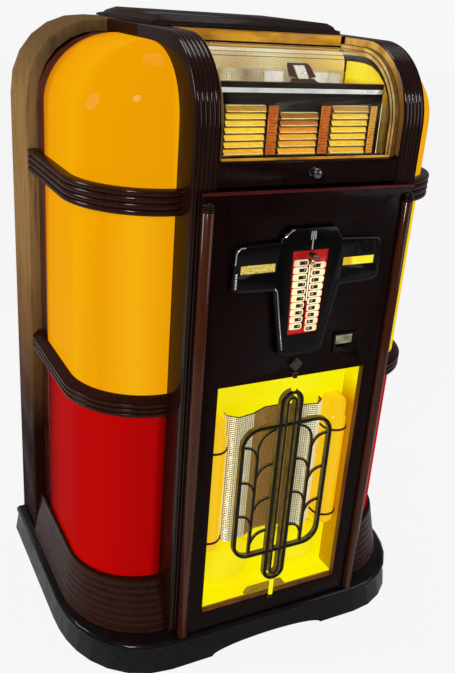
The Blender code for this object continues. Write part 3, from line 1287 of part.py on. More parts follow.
def make_screen(parent):
    """Fine mesh screen behind the display bay, and the small lamp housing on the rack's rail."""
    base = DECK_TOP_Z + GAP
    block("mesh_screen", (-STILE_INNER + GAP, CHEEK_REAR + GAP, base),
          (STILE_INNER - GAP, CHEEK_REAR + GAP + SCREEN_WALL, TOP_Z - STILE_DEPTH),
          finish("mesh_screen", (0.75, 0.70, 0.50), 0.4, metallic=0.6), parent)
    rail_top = RACK_TOP_Z + RAIL_HEIGHT + GAP
    half = LAMP_WIDTH / 2
    shape_share = ((-1.0, 0.0), (1.0, 0.0), (0.9, 0.25), (0.62, 1.0), (-0.62, 1.0), (-0.9, 0.25))
    rings = []
    for y in (RACK_BACK_Y, RACK_BACK_Y + RACK_BACK_THICKNESS):
        rings.append([(half * across, y + LAMP_LEAN * up, rail_top + LAMP_HEIGHT * up)
                      for across, up in shape_share])
    loft("indicator_lamp", rings, finish("indicator_lamp", (0.12, 0.04, 0.02), 0.3), parent)


def make_record_stack(parent):
    """Magazine of discs on a central post."""
    base = DECK_TOP_Z + GAP
    profile = [(STACK_POST_RADIUS * 2, 0.0), (STACK_POST_RADIUS * 2, STACK_FOOT / 2),
               (STACK_POST_RADIUS, STACK_FOOT)]
    for disc in range(STACK_COUNT):
        z = STACK_FOOT + DISC_PITCH * (disc + 0.5)
        profile += [(STACK_POST_RADIUS, z), (DISC_RADIUS, z), (DISC_RADIUS, z + DISC_WALL),
                    (STACK_POST_RADIUS, z + DISC_WALL)]
    turned("record_stack", profile, (STACK_X, STACK_Y, base),
           finish("record_stack", (0.03, 0.03, 0.03), 0.3), parent)


def tray_pivot():
    """Pivot from which the tray swings from the stack's centre to the turntable's."""
    stack, table = Vector((STACK_X, STACK_Y)), Vector((TURNTABLE_X, TURNTABLE_Y))
    across = (table - stack).normalized()
    return (stack + table) / 2 + Vector((-across.y, across.x)) * TRAY_REACH_BACK


def make_tray(tray_axis):
    """Swinging tray ring over the stack, with the arm that turns on the deck's post."""
    pivot = tray_pivot()
    steel = finish("record_tray", (0.6, 0.6, 0.6), 0.35, metallic=1.0)
    tray = turned("record_tray", [(DISC_RADIUS, 0.0), (DISC_RADIUS, TRAY_WALL)],
                  (STACK_X, STACK_Y, TRAY_Z), steel, tray_axis)
    reach = Vector((STACK_X, STACK_Y)) - pivot
    across = Vector((-reach.y, reach.x)).normalized() * TRAY_ARM_HALF
    inner = pivot + reach * (1 - TRAY_INNER / reach.length * 1.1)
    corners = [pivot + across * 1.4, pivot - across * 1.4, inner - across, inner + across]
    arm = loft("tray_arm", [[(x, y, z) for x, y in corners]
                            for z in (TRAY_Z + GAP / 5, TRAY_Z + TRAY_WALL - GAP / 5)],
               steel, tray_axis)
    combine(tray, arm, "UNION")
    holes = [turned("tray_opening", [(TRAY_INNER, -OVERRUN), (TRAY_INNER, TRAY_WALL + OVERRUN)],
                    (STACK_X, STACK_Y, TRAY_Z), steel, tray_axis),
             turned("tray_bore", [(TRAY_POST_RADIUS + GAP, -OVERRUN),
                                  (TRAY_POST_RADIUS + GAP, TRAY_WALL + OVERRUN)],
                    (pivot.x, pivot.y, TRAY_Z), steel, tray_axis, steps=SMALL_TURN_STEPS)]
    combine_all(tray, holes, "DIFFERENCE")


def make_turntable(lift, spin):
    """Lift column in the deck's socket, and the turntable on the column."""
    centre = (TURNTABLE_X, TURNTABLE_Y, DECK_TOP_Z)
    column_top = LIFT_BASE_HEIGHT + OVERRUN
    turned("lift_column", [(LIFT_RADIUS, OVERRUN / 2 + GAP), (LIFT_RADIUS, column_top)], centre,
           finish("lift_column", (0.7, 0.7, 0.7), 0.25, metallic=1.0), lift, steps=SMALL_TURN_STEPS)
    foot = column_top + GAP
    profile = [(LIFT_RADIUS, foot), (LIFT_RADIUS * 1.5, foot + TURNTABLE_WALL / 2),
               (TURNTABLE_RADIUS * 0.96, foot + TURNTABLE_WALL * 0.6),
               (TURNTABLE_RADIUS, foot + TURNTABLE_WALL), (TURNTABLE_RADIUS, foot + TURNTABLE_WALL * 2),
               (TRAY_BORE / 2, foot + TURNTABLE_WALL * 2), (TRAY_BORE / 2, foot + TURNTABLE_WALL * 3)]
    turned("turntable", profile, centre, finish("turntable", (0.10, 0.16, 0.10), 0.8), spin)


def make_tone_arm(axis):
    """Tone arm with its head over the turntable."""
    target = Vector((TURNTABLE_X, TURNTABLE_Y))
    pivot = Vector((ARM_X, ARM_Y))
    along = (target - pivot).normalized()
    across = Vector((-along.y, along.x))
    length = ARM_LENGTH - ARM_HEAD_LENGTH
    stations = [(-ARM_HALF * 3, ARM_HALF * 1.5), (ARM_HALF * 2, ARM_HALF * 1.5),
                (ARM_HALF * 4, ARM_HALF), (length, ARM_HALF), (length + ARM_HALF, ARM_HEAD_HALF),
                (ARM_LENGTH, ARM_HEAD_HALF)]
    rings = []
    for distance, half in stations:
        middle = pivot + along * distance
        left, right = middle + across * half, middle - across * half
        rings.append([(left.x, left.y, ARM_Z), (right.x, right.y, ARM_Z),
                      (right.x, right.y, ARM_Z + ARM_HALF * 2), (left.x, left.y, ARM_Z + ARM_HALF * 2)])
    loft("tone_arm", rings, finish("tone_arm", (0.12, 0.05, 0.03), 0.35), axis)


def make_motor(parent):
    """Changer motor on the deck."""
    profile_share = ((0.9, 0.0), (1.0, 0.08), (1.0, 0.75), (0.8, 0.9), (0.3, 0.95), (0.3, 1.0))
    profile = [(MOTOR_RADIUS * reach, MOTOR_HEIGHT * rise) for reach, rise in profile_share]
    turned("changer_motor", profile, (MOTOR_X, MOTOR_Y, DECK_TOP_Z + GAP),
           finish("changer_motor", (0.05, 0.05, 0.05), 0.5), parent)


def make_speaker(parent):
    """Speaker behind its baffle board."""
    front = STILE_DEPTH + GAP
    wood = finish("speaker_baffle", (0.16, 0.10, 0.06), 0.7)
    baffle = block("speaker_baffle", (-BAFFLE_HALF, front, FLOOR_TOP_Z + GAP),
                   (BAFFLE_HALF, front + BAFFLE_THICKNESS, BAFFLE_TOP_Z), wood, parent)
    mouth = SPEAKER_RADIUS - SPEAKER_LIP
    hole = turned("baffle_hole", [(mouth, front - OVERRUN), (mouth, front + BAFFLE_THICKNESS + OVERRUN)],
                  (0.0, 0.0, SPEAKER_Z), wood, parent, axis="y")
    combine(baffle, hole, "DIFFERENCE")
    seat = front + BAFFLE_THICKNESS + GAP
    cone = MAGNET_RADIUS * 0.5
    profile = [(SPEAKER_RADIUS, seat), (SPEAKER_RADIUS, seat + SPEAKER_WALL),
               (mouth, seat + SPEAKER_WALL * 2), (MAGNET_RADIUS, seat + SPEAKER_DEPTH * 0.55),
               (MAGNET_RADIUS, seat + SPEAKER_DEPTH), (cone / 2, seat + SPEAKER_DEPTH),
               (cone / 2, seat + SPEAKER_DEPTH * 0.5), (cone, seat + SPEAKER_DEPTH * 0.42),
               (mouth - SPEAKER_WALL, seat)]
    rings_closed = profile + [profile[0]]
    turned_ring("speaker", rings_closed[:-1], (0.0, 0.0, SPEAKER_Z),
                finish("speaker", (0.08, 0.08, 0.08), 0.6), parent)


def turned_ring(name, profile, centre, material, parent, steps=TURN_STEPS):
    """A closed profile of (radius, y) pairs spun about a Y axis into a ring."""
    rings = []
    for step in range(steps):
        angle = 2 * pi * step / steps
        rings.append([(centre[0] + radius * cos(angle), centre[1] + distance,
                       centre[2] + radius * sin(angle)) for radius, distance in profile])
    count = len(profile)
    vertices = [point for ring in rings for point in ring]
    faces = []
    for row in range(steps):
        following = (row + 1) % steps
        for column in range(count):
            beside = (column + 1) % count
            faces.append((row * count + column, row * count + beside,
                          following * count + beside, following * count + column))
    return add_solid(name, vertices, faces, material, parent)


def make_amplifier(parent):
    """Amplifier chassis with its tubes and transformer, on the cabinet floor."""
    base = FLOOR_TOP_Z + GAP
    metal = finish("amplifier", (0.25, 0.25, 0.25), 0.4, metallic=0.8)
    back = AMPLIFIER_Y + AMPLIFIER_DEPTH
    chassis = block("amplifier", (-AMPLIFIER_HALF, AMPLIFIER_Y, base),
                    (AMPLIFIER_HALF, back, base + AMPLIFIER_HEIGHT), metal, parent)
    top = base + AMPLIFIER_HEIGHT - OVERRUN
    members = [block("transformer", (AMPLIFIER_HALF - TRANSFORMER_SIDE - OVERRUN, AMPLIFIER_Y + OVERRUN * 5,
                                     top),
                     (AMPLIFIER_HALF - OVERRUN, AMPLIFIER_Y + OVERRUN * 5 + TRANSFORMER_SIDE,
                      top + TRANSFORMER_SIDE), metal, parent)]
    pitch = (AMPLIFIER_HALF * 2 - TRANSFORMER_SIDE) / (TUBE_COUNT + 1)
    for tube in range(TUBE_COUNT):
        centre = (-AMPLIFIER_HALF + pitch * (tube + 0.7), AMPLIFIER_Y + AMPLIFIER_DEPTH / 2, top)
        profile_share = ((0.8, 0.0), (0.8, 0.25), (1.0, 0.4), (1.0, 0.8), (0.5, 1.0))
        profile = [(TUBE_RADIUS * reach, TUBE_HEIGHT * rise) for reach, rise in profile_share]
        members.append(turned("tube", profile, centre, metal, parent, steps=SMALL_TURN_STEPS - 4))
    combine_all(chassis, members, "UNION")


def make_cash_box(parent):
    """Open cash box on the cabinet floor."""
    base = FLOOR_TOP_Z + GAP
    low = (CASH_X - CASH_HALF, CASH_Y, base)
    high = (CASH_X + CASH_HALF, CASH_Y + CASH_DEPTH, base + CASH_HEIGHT)
    paint = finish("cash_box", (0.05, 0.07, 0.05), 0.5)
    box = block("cash_box", low, high, paint, parent)
    hollow = block("cash_hollow", (low[0] + CASH_WALL, low[1] + CASH_WALL, low[2] + CASH_WALL),
                   (high[0] - CASH_WALL, high[1] - CASH_WALL, high[2] + OVERRUN), paint, parent)
    combine(box, hollow, "DIFFERENCE")


def make_cabinet(frame):
    """Everything that stays still."""
    make_plinth(frame)
    make_deck(frame)
    make_shell(frame)
    make_back_panel(frame)
    make_top(frame)
    for side, label in ((-1, "left"), (1, "right")):
        make_stile(side, frame, label)
        make_dome(side, frame, label)
        joint_high = UPPER_BAND_Z + UPPER_BAND_HEIGHT / 2
        joint_low = LOWER_BAND_Z + LOWER_BAND_HEIGHT / 2
        make_plastic("middle_plastic_" + label, side, joint_low + GAP, joint_high - GAP,
                     (0.92, 0.45, 0.02), frame)
        make_plastic("lower_plastic_" + label, side, BASE_TOP_Z, joint_low - GAP,
                     (0.65, 0.005, 0.005), frame)
        make_bands(side, frame, label)
        make_base_corner(side, frame, label)
        make_rear_frame(side, frame, label)
        make_cheek(side, frame, label)
    make_title_rack(frame)
    for column, label in enumerate(("left", "centre", "right")):
        make_title_column(column, frame, label)
    make_screen(frame)
    make_record_stack(frame)
    make_motor(frame)
    make_speaker(frame)
    make_amplifier(frame)
    make_cash_box(frame)


def make_moving_parts(frame):
    """Everything that turns or slides, each on an empty at its joint."""
    door = add_empty("door_axis", (-DOOR_HALF - GAP, 0.0, DOOR_BOTTOM_Z), frame)
    make_door(door)
    for side, label in ((-1, "left"), (1, "right")):
        make_moulding(side, door, label)
        make_pillar(side, door, label)
    make_grille(door)
    make_grille_box(door)
    make_speaker_mesh(door)
    make_escutcheon(door)
    make_number_scale(door)
    make_coin_mechanism(door)
    slide = add_empty("selector_slide", (0.0, DOOR_FRONT, SELECTOR_REST_Z), door)
    push = add_empty("selector_push", (0.0, -FRONT_REACH, SELECTOR_REST_Z), slide)
    make_selector(slide, push)
    flap_z = RETURN_Z + RETURN_HEIGHT / 2 - GAP - RETURN_WALL - FLAP_CLEARANCE
    flap = add_empty("flap_axis", (RETURN_X, DOOR_FRONT + FLAP_THICKNESS / 2, flap_z), door)
    make_coin_return(door, flap)
    make_door_lock(add_empty("lock_axis", (0.0, DOOR_FRONT, LOCK_Z), door))
    lid = add_empty("lid_axis", (0.0, LID_REAR, TOP_Z - GAP), frame)
    make_lid(lid)
    make_lid_knob(add_empty("lid_knob_axis", (0.0, 0.0, LID_KNOB_Z), lid))
    pivot = tray_pivot()
    make_tray(add_empty("tray_axis", (pivot.x, pivot.y, TRAY_Z), frame))
    lift = add_empty("lift_axis", (TURNTABLE_X, TURNTABLE_Y, DECK_TOP_Z), frame)
    spin = add_empty("turntable_axis", (TURNTABLE_X, TURNTABLE_Y, DECK_TOP_Z), lift)
    make_turntable(lift, spin)
    make_tone_arm(add_empty("tone_arm_axis", (ARM_X, ARM_Y, ARM_Z), frame))


def main():
    clear_scene()
    frame = add_empty("cabinet_frame", (0.0, -ORIGIN_Y, 0.0))
    frame["place"] = (0.0, 0.0, 0.0)
    make_cabinet(frame)
    make_moving_parts(frame)
    bpy.context.view_layer.update()


main()
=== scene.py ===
"""Light-up floor jukebox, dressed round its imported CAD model.

Lengths are in metres. A point is written (x, u, z): x to the right, u back from the face of the
fascia stiles and z up from the floor. at() turns it into the frame of the CAD model.
"""
import bpy
import bmesh
from math import cos, sin, pi, radians
from mathutils import Vector, Matrix


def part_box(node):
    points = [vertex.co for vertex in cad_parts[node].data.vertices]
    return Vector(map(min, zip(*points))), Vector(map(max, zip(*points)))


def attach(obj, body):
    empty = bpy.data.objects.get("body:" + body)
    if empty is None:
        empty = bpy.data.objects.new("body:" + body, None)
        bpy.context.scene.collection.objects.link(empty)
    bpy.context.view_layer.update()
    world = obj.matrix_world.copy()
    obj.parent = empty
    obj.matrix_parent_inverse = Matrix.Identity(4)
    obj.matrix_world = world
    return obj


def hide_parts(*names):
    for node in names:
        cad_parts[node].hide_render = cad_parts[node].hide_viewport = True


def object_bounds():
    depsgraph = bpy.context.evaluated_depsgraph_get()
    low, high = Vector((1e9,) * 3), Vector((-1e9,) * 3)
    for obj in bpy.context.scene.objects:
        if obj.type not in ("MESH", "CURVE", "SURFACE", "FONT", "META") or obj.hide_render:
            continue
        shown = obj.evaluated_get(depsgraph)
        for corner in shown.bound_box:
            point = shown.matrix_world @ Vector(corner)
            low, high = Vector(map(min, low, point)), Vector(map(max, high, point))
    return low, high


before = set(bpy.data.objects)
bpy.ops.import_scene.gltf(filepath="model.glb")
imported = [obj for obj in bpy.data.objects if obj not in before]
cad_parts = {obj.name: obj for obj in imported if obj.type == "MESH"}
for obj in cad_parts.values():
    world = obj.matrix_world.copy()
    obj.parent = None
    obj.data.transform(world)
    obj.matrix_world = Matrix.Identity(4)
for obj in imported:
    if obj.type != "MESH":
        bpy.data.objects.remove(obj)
cad_low, cad_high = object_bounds()

# Camera, lamps and floor. The picture was taken from the jukebox's left front, a little above its
# top. The floor is a plain pale sweep, and soft round lamps light the cabinet from both sides of the
# front, from the left and from above.


def placed(name, data):
    """An object of the scene that holds the data."""
    thing = bpy.data.objects.new(name, data)
    bpy.context.collection.objects.link(thing)
    return thing


camera_data = bpy.data.cameras.new("picture_camera")
camera_data.sensor_fit = "VERTICAL"
camera_data.sensor_height = 36.0
camera_data.lens = 43.25
camera_data.clip_end = 60.0
camera = placed("picture_camera", camera_data)
camera.matrix_world = Matrix(((0.89207, 0.11799, -0.43624, -0.8587),
                              (-0.44638, 0.38064, -0.80985, -1.592),
                              (0.0705, 0.91716, 0.39222, 1.4365),
                              (0.0, 0.0, 0.0, 1.0)))
bpy.context.scene.camera = camera
bpy.context.scene.view_settings.view_transform = "Standard"


def lamp(name, place, aim, size, power, shine):
    """A round soft lamp that looks from its place towards its aim."""
    data = bpy.data.lights.new(name, "AREA")
    data.shape = "DISK"
    data.size = size
    data.energy = power
    data.specular_factor = shine
    light = placed(name, data)
    light.location = place
    light.rotation_euler = (Vector(aim) - Vector(place)).to_track_quat("-Z", "Y").to_euler()


lamp("key_lamp", (-2.4, -2.6, 3.0), (0.0, 0.0, 0.8), 0.7, 80, 0.9)
lamp("side_lamp", (-2.8, 0.8, 1.9), (0.0, 0.0, 0.8), 1.0, 40, 0.15)
lamp("fill_lamp", (2.6, -2.2, 1.8), (0.0, 0.0, 0.7), 2.0, 35, 0.05)
lamp("top_lamp", (0.2, 0.4, 3.6), (0.0, 0.0, 1.0), 1.4, 35, 0.2)

world = bpy.data.worlds.new("studio")
bpy.context.scene.world = world
world.use_nodes = True
sky = world.node_tree
sky.nodes.clear()


def seen_share(tree, share=1.0):
    """A share where the camera looks, straight or through glass, and nothing elsewhere."""
    path = tree.nodes.new("ShaderNodeLightPath")
    either = tree.nodes.new("ShaderNodeMath")
    either.operation = "MAXIMUM"
    tree.links.new(path.outputs["Is Camera Ray"], either.inputs[0])
    tree.links.new(path.outputs["Is Transmission Ray"], either.inputs[1])
    part = tree.nodes.new("ShaderNodeMath")
    part.operation = "MULTIPLY"
    part.inputs[1].default_value = share
    tree.links.new(either.outputs[0], part.inputs[0])
    return part.outputs[0]


lit_sky = sky.nodes.new("ShaderNodeBackground")
lit_sky.inputs["Color"].default_value = (0.92, 0.93, 0.95, 1)
lit_sky.inputs["Strength"].default_value = 0.26
seen_sky = sky.nodes.new("ShaderNodeBackground")
seen_sky.inputs["Color"].default_value = (0.93, 0.93, 0.93, 1)
choice = sky.nodes.new("ShaderNodeMixShader")
output = sky.nodes.new("ShaderNodeOutputWorld")
sky.links.new(seen_share(sky), choice.inputs[0])
sky.links.new(lit_sky.outputs[0], choice.inputs[1])
sky.links.new(seen_sky.outputs[0], choice.inputs[2])
sky.links.new(choice.outputs[0], output.inputs["Surface"])

floor_mesh = bpy.data.meshes.new("studio_floor")
floor_mesh.from_pydata([(-14, -14, 0), (14, -14, 0), (14, 14, 0), (-14, 14, 0)], [], [(0, 1, 2, 3)])
floor = placed("studio_floor", floor_mesh)
floor_paint = bpy.data.materials.new("studio_floor")
floor_paint.use_nodes = True
paint = floor_paint.node_tree
matt = paint.nodes["Principled BSDF"]
matt.inputs["Base Color"].default_value = (0.86, 0.86, 0.86, 1)
matt.inputs["Roughness"].default_value = 0.8
pale = paint.nodes.new("ShaderNodeEmission")
pale.inputs["Color"].default_value = (0.93, 0.93, 0.93, 1)
choice = paint.nodes.new("ShaderNodeMixShader")
paint.links.new(seen_share(paint, 0.97), choice.inputs[0])
paint.links.new(matt.outputs[0], choice.inputs[1])
paint.links.new(pale.outputs[0], choice.inputs[2])
paint.links.new(choice.outputs[0], paint.nodes["Material Output"].inputs["Surface"])
floor_mesh.materials.append(floor_paint)

# Plinth. Black lacquered softwood rails with a shaped front and a shallow arch for the toes, screwed
# together under the floor board that the cabinet stands on.


def shader_of(material):
    """The material's main shader node."""
    return material.node_tree.nodes["Principled BSDF"]


def plain(name, colour, roughness, **sockets):
    """A material with its plain values set on the shader; sockets are given by underscored names."""
    material = bpy.data.materials.new(name)
    material.use_nodes = True
    shader = shader_of(material)
    shader.inputs["Base Color"].default_value = (*colour, 1)
    shader.inputs["Roughness"].default_value = roughness
    for socket, value in sockets.items():
        label = socket.replace("_", " ").title().replace("Ior", "IOR")
        shader.inputs[label].default_value = (*value, 1) if isinstance(value, tuple) else value
    return material


def texture(material, scale, stretch=(1.0, 1.0, 1.0), kind="Noise", **values):
    """A texture node on stretched Object coordinates."""
    nodes, links = material.node_tree.nodes, material.node_tree.links
    place = nodes.new("ShaderNodeTexCoord")
    turn = nodes.new("ShaderNodeMapping")
    turn.inputs["Scale"].default_value = stretch
    links.new(place.outputs["Object"], turn.inputs["Vector"])
    node = nodes.new("ShaderNodeTex" + kind)
    links.new(turn.outputs[0], node.inputs["Vector"])
    node.inputs["Scale"].default_value = scale
    for socket, value in values.items():
        node.inputs[socket.replace("_", " ").title()].default_value = value
    return node


def ramp(material, source, stops, target=None):
    """Colours or values by the source's value; stops are (position, colour) pairs."""
    nodes, links = material.node_tree.nodes, material.node_tree.links
    node = nodes.new("ShaderNodeValToRGB")
    band = node.color_ramp
    while len(band.elements) < len(stops):
        band.elements.new(0.5)
    for element, (position, colour) in zip(band.elements, stops):
        element.position = position
        element.color = (*colour, 1) if isinstance(colour, tuple) else (colour, colour, colour, 1)
    links.new(source, node.inputs[0])
    if target:
        links.new(node.outputs[0], shader_of(material).inputs[target])
    return node.outputs[0]


def bump(material, source, distance):
    """Fine relief from the source's value."""
    nodes, links = material.node_tree.nodes, material.node_tree.links
    node = nodes.new("ShaderNodeBump")
    node.inputs["Distance"].default_value = distance
    node.inputs["Strength"].default_value = 1.0
    links.new(source, node.inputs["Height"])
    links.new(node.outputs[0], shader_of(material).inputs["Normal"])


def lacquer(name, colour, roughness):
    """Sprayed lacquer with a faint orange peel and rubbed patches."""
    material = plain(name, colour, roughness, coat_weight=0.16, coat_roughness=0.06,
                     specular_ior_level=0.05)
    peel = texture(material, 260.0, detail=2.0)
    wear = texture(material, 14.0, detail=4.0)
    dust = tuple(channel * 1.8 + 0.0015 for channel in colour)
    ramp(material, wear.outputs["Fac"], ((0.42, colour), (0.78, dust)), "Base Color")
    rough = texture(material, 20.0, detail=3.0)
    ramp(material, rough.outputs["Fac"], ((0.3, roughness * 0.8), (0.75, roughness * 1.5)),
         "Roughness")
    bump(material, peel.outputs["Fac"], 0.0003)
    return material


def put(name, mesh, material, body="root", replaces=()):
    """Makes a piece of a mesh, rides it on its body and hides the CAD parts it stands for."""
    piece = placed(name, mesh)
    if material and not mesh.materials:
        mesh.materials.append(material)
    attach(piece, body)
    if replaces:
        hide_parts(*replaces)


def smooth(mesh, limit):
    """Smooth faces with sharp edges past an angle."""
    mesh.shade_smooth()
    mesh.set_sharp_from_angle(angle=radians(limit))


def dressed(node, material, body="root", limit=38, name=None):
    """A smooth copy of a CAD node with its own material, which stands for the node."""
    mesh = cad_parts[node].data.copy()
    mesh.materials.clear()
    shape = bmesh.new()
    shape.from_mesh(mesh)
    bmesh.ops.remove_doubles(shape, verts=shape.verts, dist=0.00002)
    shape.to_mesh(mesh)
    shape.free()
    smooth(mesh, limit)
    mesh.name = name or node + "_piece"
    put(mesh.name, mesh, material, body, (node,))


BLACK = lacquer("black_lacquer", (0.0032, 0.0022, 0.0020), 0.28)
dressed("plinth", BLACK)

# Base wraps. Bent mahogany ply, flared towards the floor and finely ribbed, glued to the cabinet's
# foot. Like the bands and sheets above, each wrap runs straight from the rear arch to the corner and
# then turns a quarter to the fascia stile.
FACE_Y = -0.292             # the fascia face in the CAD model's frame
TURN = 24                   # steps round a cabinet corner
PILASTER_HALF = 0.410
CORNER_X = 0.252
CORNER_U = 0.230
CORNER_RADIUS = 0.158
BEND_REAR = 0.481 - 0.0005  # half a millimetre short of the shell


def at(x, u, z):
    """A point (x, u, z) in the CAD model's frame."""
    return Vector((x, u + FACE_Y, z))


def wood(name, dark, light, roughness=0.3, stretch=(1.0, 1.0, 0.06), coat=0.16):
    """Lacquered veneer: long grain with small colour changes, worn a little duller in patches."""
    material = plain(name, dark, roughness, coat_weight=coat, coat_roughness=0.07,
                     specular_ior_level=0.04)
    grain = texture(material, 95.0, stretch, detail=6.0, roughness=0.62, distortion=0.5)
    ramp(material, grain.outputs["Fac"], ((0.30, dark), (0.52, light), (0.72, dark)), "Base Color")
    wear = texture(material, 11.0, detail=3.0)
    ramp(material, wear.outputs["Fac"], ((0.3, roughness * 0.8), (0.75, roughness * 1.5)),
         "Roughness")
    bump(material, grain.outputs["Fac"], 0.00035)
    return material


def finished(name, shape, limit, material=None):
    """The plain mesh of a bmesh shape, smoothed."""
    mesh = bpy.data.meshes.new(name)
    shape.to_mesh(mesh)
    shape.free()
    smooth(mesh, limit)
    if material:
        mesh.materials.append(material)
    return mesh


def loft(name, rings, closed_ring=True, caps=True, limit=35, material=None):
    """A skin over rings of points; its UV runs along the rings (U) and round each ring (V)."""
    shape = bmesh.new()
    layer = shape.loops.layers.uv.new("UVMap")
    rows = [[shape.verts.new(point) for point in ring] for ring in rings]
    size = len(rows[0])
    span = size if closed_ring else size - 1
    for row in range(len(rows) - 1):
        for column in range(span):
            beside = (column + 1) % size
            face = shape.faces.new((rows[row][column], rows[row][beside],
                                    rows[row + 1][beside], rows[row + 1][column]))
            shares = ((row, column), (row, column + 1), (row + 1, column + 1), (row + 1, column))
            for corner, (along, around) in zip(face.loops, shares):
                corner[layer].uv = (along / (len(rows) - 1), around / span)
    if closed_ring and caps:
        shape.faces.new(reversed(rows[0]))
        shape.faces.new(rows[-1])
    bmesh.ops.remove_doubles(shape, verts=shape.verts, dist=0.00001)
    bmesh.ops.dissolve_degenerate(shape, edges=shape.edges, dist=0.000005)
    if closed_ring:
        bmesh.ops.recalc_face_normals(shape, faces=shape.faces)
    return finished(name, shape, limit, material)


def corner_ring(side, reach, front_reach, angle):
    """A plan point of the corner at an angle from its side."""
    radius = CORNER_RADIUS + reach + front_reach * sin(angle) ** 2
    return side * (CORNER_X + radius * cos(angle)), CORNER_U - radius * sin(angle)


def corner_mesh(name, side, section):
    """A section of (reach, front reach, height) rows swept round the corner from the rear."""
    rings = [[at(side * (PILASTER_HALF + reach), BEND_REAR, z) for reach, _, z in section]]
    for step in range(TURN + 1):
        angle = pi / 2 * step / TURN
        rings.append([at(*corner_ring(side, reach, front, angle), z) for reach, front, z in section])
    return loft(name, rings)


def bow(share, roundness=2.6):
    """Height of a half-round rib at a share of its width."""
    return (1 - abs(2 * share - 1) ** roundness) ** 0.5


SIDES = (("left", -1), ("right", 1))
MAHOGANY = wood("mahogany", (0.0085, 0.0014, 0.0006), (0.025, 0.0045, 0.0014), 0.3)
BASE_LOW, BASE_HIGH = 0.0705, 0.1945
BASE_REACH, BASE_FRONT, GROOVE_DEPTH = 0.030, 0.026, 0.0028
PLY_BACK = 0.0005           # how far the bent ply's back stands off the pilaster's side
WRAP_RIBS, RIB_POINTS = 8, 7

for label, side in SIDES:
    rows = []
    for rib in range(WRAP_RIBS):
        for point in range(RIB_POINTS):
            within = (point + 0.5) / RIB_POINTS
            share = (rib + within) / WRAP_RIBS
            flare = 1 - 0.72 * share ** 0.9
            hollow = GROOVE_DEPTH * (1 - bow(within))
            rows.append((BASE_REACH * flare - hollow - 0.0002, BASE_FRONT * flare,
                         BASE_LOW + (BASE_HIGH - BASE_LOW) * share))
    section = [(PLY_BACK, 0.0, BASE_LOW)] + rows + [(PLY_BACK, 0.0, BASE_HIGH)]
    mesh = corner_mesh("base_wrap_" + label, side, section)
    put("base_wrap_" + label, mesh, MAHOGANY, replaces=("base_corner_" + label,))

# Pilaster plastics. Translucent cellulose sheets are bent round each corner and lit from inside:
# amber domes at the top, amber and yellow between the bands and red at the foot. The wooden bands
# hold their edges. The lamps inside are not modelled; their light is a painted glow on the sheets.
PLASTIC_REAR, SHEET_WALL = 0.413, 0.0038
DOME_START, DOME_RISE, DOME_FOOT = 1.198, 0.143, 1.0665
SIDE_EXPONENT, FRONT_EXPONENT = 1.95, 2.35
# The third colour is painted shade at the sheets' rear edges.
AMBER, YOLK, EDGE_SHADE_AMBER = (0.84, 0.335, 0.0004), (0.88, 0.40, 0.0004), (0.60, 0.19, 0.0004)


def lit_plastic(name, stops, strength, streaks=0.10):
    """A sheet's painted glow by its share of the way round the corner, with soft upright streaks."""
    material = plain(name, stops[0][1], 0.1, coat_weight=0.035, coat_roughness=0.03,
                     specular_ior_level=0.0)
    nodes, links = material.node_tree.nodes, material.node_tree.links
    shader = shader_of(material)
    sheet = nodes.new("ShaderNodeUVMap")
    split = nodes.new("ShaderNodeSeparateXYZ")
    links.new(sheet.outputs[0], split.inputs[0])
    cloud = texture(material, 9.0, (1.0, 1.0, 0.12), detail=3.0)
    sway = nodes.new("ShaderNodeMath")
    sway.operation = "MULTIPLY_ADD"
    sway.inputs[1].default_value = streaks
    links.new(cloud.outputs["Fac"], sway.inputs[0])
    links.new(split.outputs["X"], sway.inputs[2])
    shift = nodes.new("ShaderNodeMath")
    shift.operation = "SUBTRACT"
    shift.inputs[1].default_value = streaks / 2
    links.new(sway.outputs[0], shift.inputs[0])
    colour = ramp(material, shift.outputs[0], stops)
    links.new(colour, shader.inputs["Emission Color"])
    shader.inputs["Emission Strength"].default_value = strength
    dim = nodes.new("ShaderNodeMixRGB")
    dim.blend_type = "MULTIPLY"
    dim.inputs[0].default_value = 1.0
    dim.inputs[2].default_value = (0.10, 0.10, 0.10, 1)
    links.new(colour, dim.inputs[1])
    links.new(dim.outputs[0], shader.inputs["Base Color"])
    wave = texture(material, 26.0, (1.0, 1.0, 0.25), detail=2.0)
    bump(material, wave.outputs["Fac"], 0.0006)
    return material


# Each ramp runs round the corner. Its darkest stops are painted shade at the sheet's rear edge (at both
# edges for the red), and its yellower stops are brighter bands of the painted glow.
AMBER_LEFT = lit_plastic("amber_plastic_left", ((0.0, EDGE_SHADE_AMBER), (0.04, AMBER), (0.22, YOLK),
                                                (0.42, AMBER), (0.97, AMBER), (1.0, YOLK)), 0.92)
AMBER_MIDDLE = lit_plastic("amber_plastic_middle", ((0.0, EDGE_SHADE_AMBER), (0.05, AMBER), (0.3, YOLK),
                                                    (0.5, AMBER), (0.75, (0.90, 0.43, 0.004)),
                                                    (1.0, AMBER)), 0.92, 0.22)
YELLOW_RIGHT = lit_plastic("yellow_plastic", ((0.0, AMBER), (0.4, (0.92, 0.62, 0.003)),
                                              (0.97, (0.92, 0.67, 0.003)), (1.0, AMBER)), 0.92)
RED = lit_plastic("red_plastic", ((0.0, (0.16, 0.0, 0.0)), (0.10, (0.42, 0.0006, 0.0006)),
                                  (0.5, (0.49, 0.001, 0.001)), (0.92, (0.40, 0.0006, 0.0006)),
                                  (1.0, (0.12, 0.0, 0.0))), 0.93)


def plain_mesh(name, helper):
    """The finished mesh of a helper object, which goes away with its modifiers."""
    graph = bpy.context.evaluated_depsgraph_get()
    mesh = bpy.data.meshes.new_from_object(helper.evaluated_get(graph))
    mesh.name = name
    helper.modifiers.clear()
    bpy.data.objects.remove(helper)
    return mesh


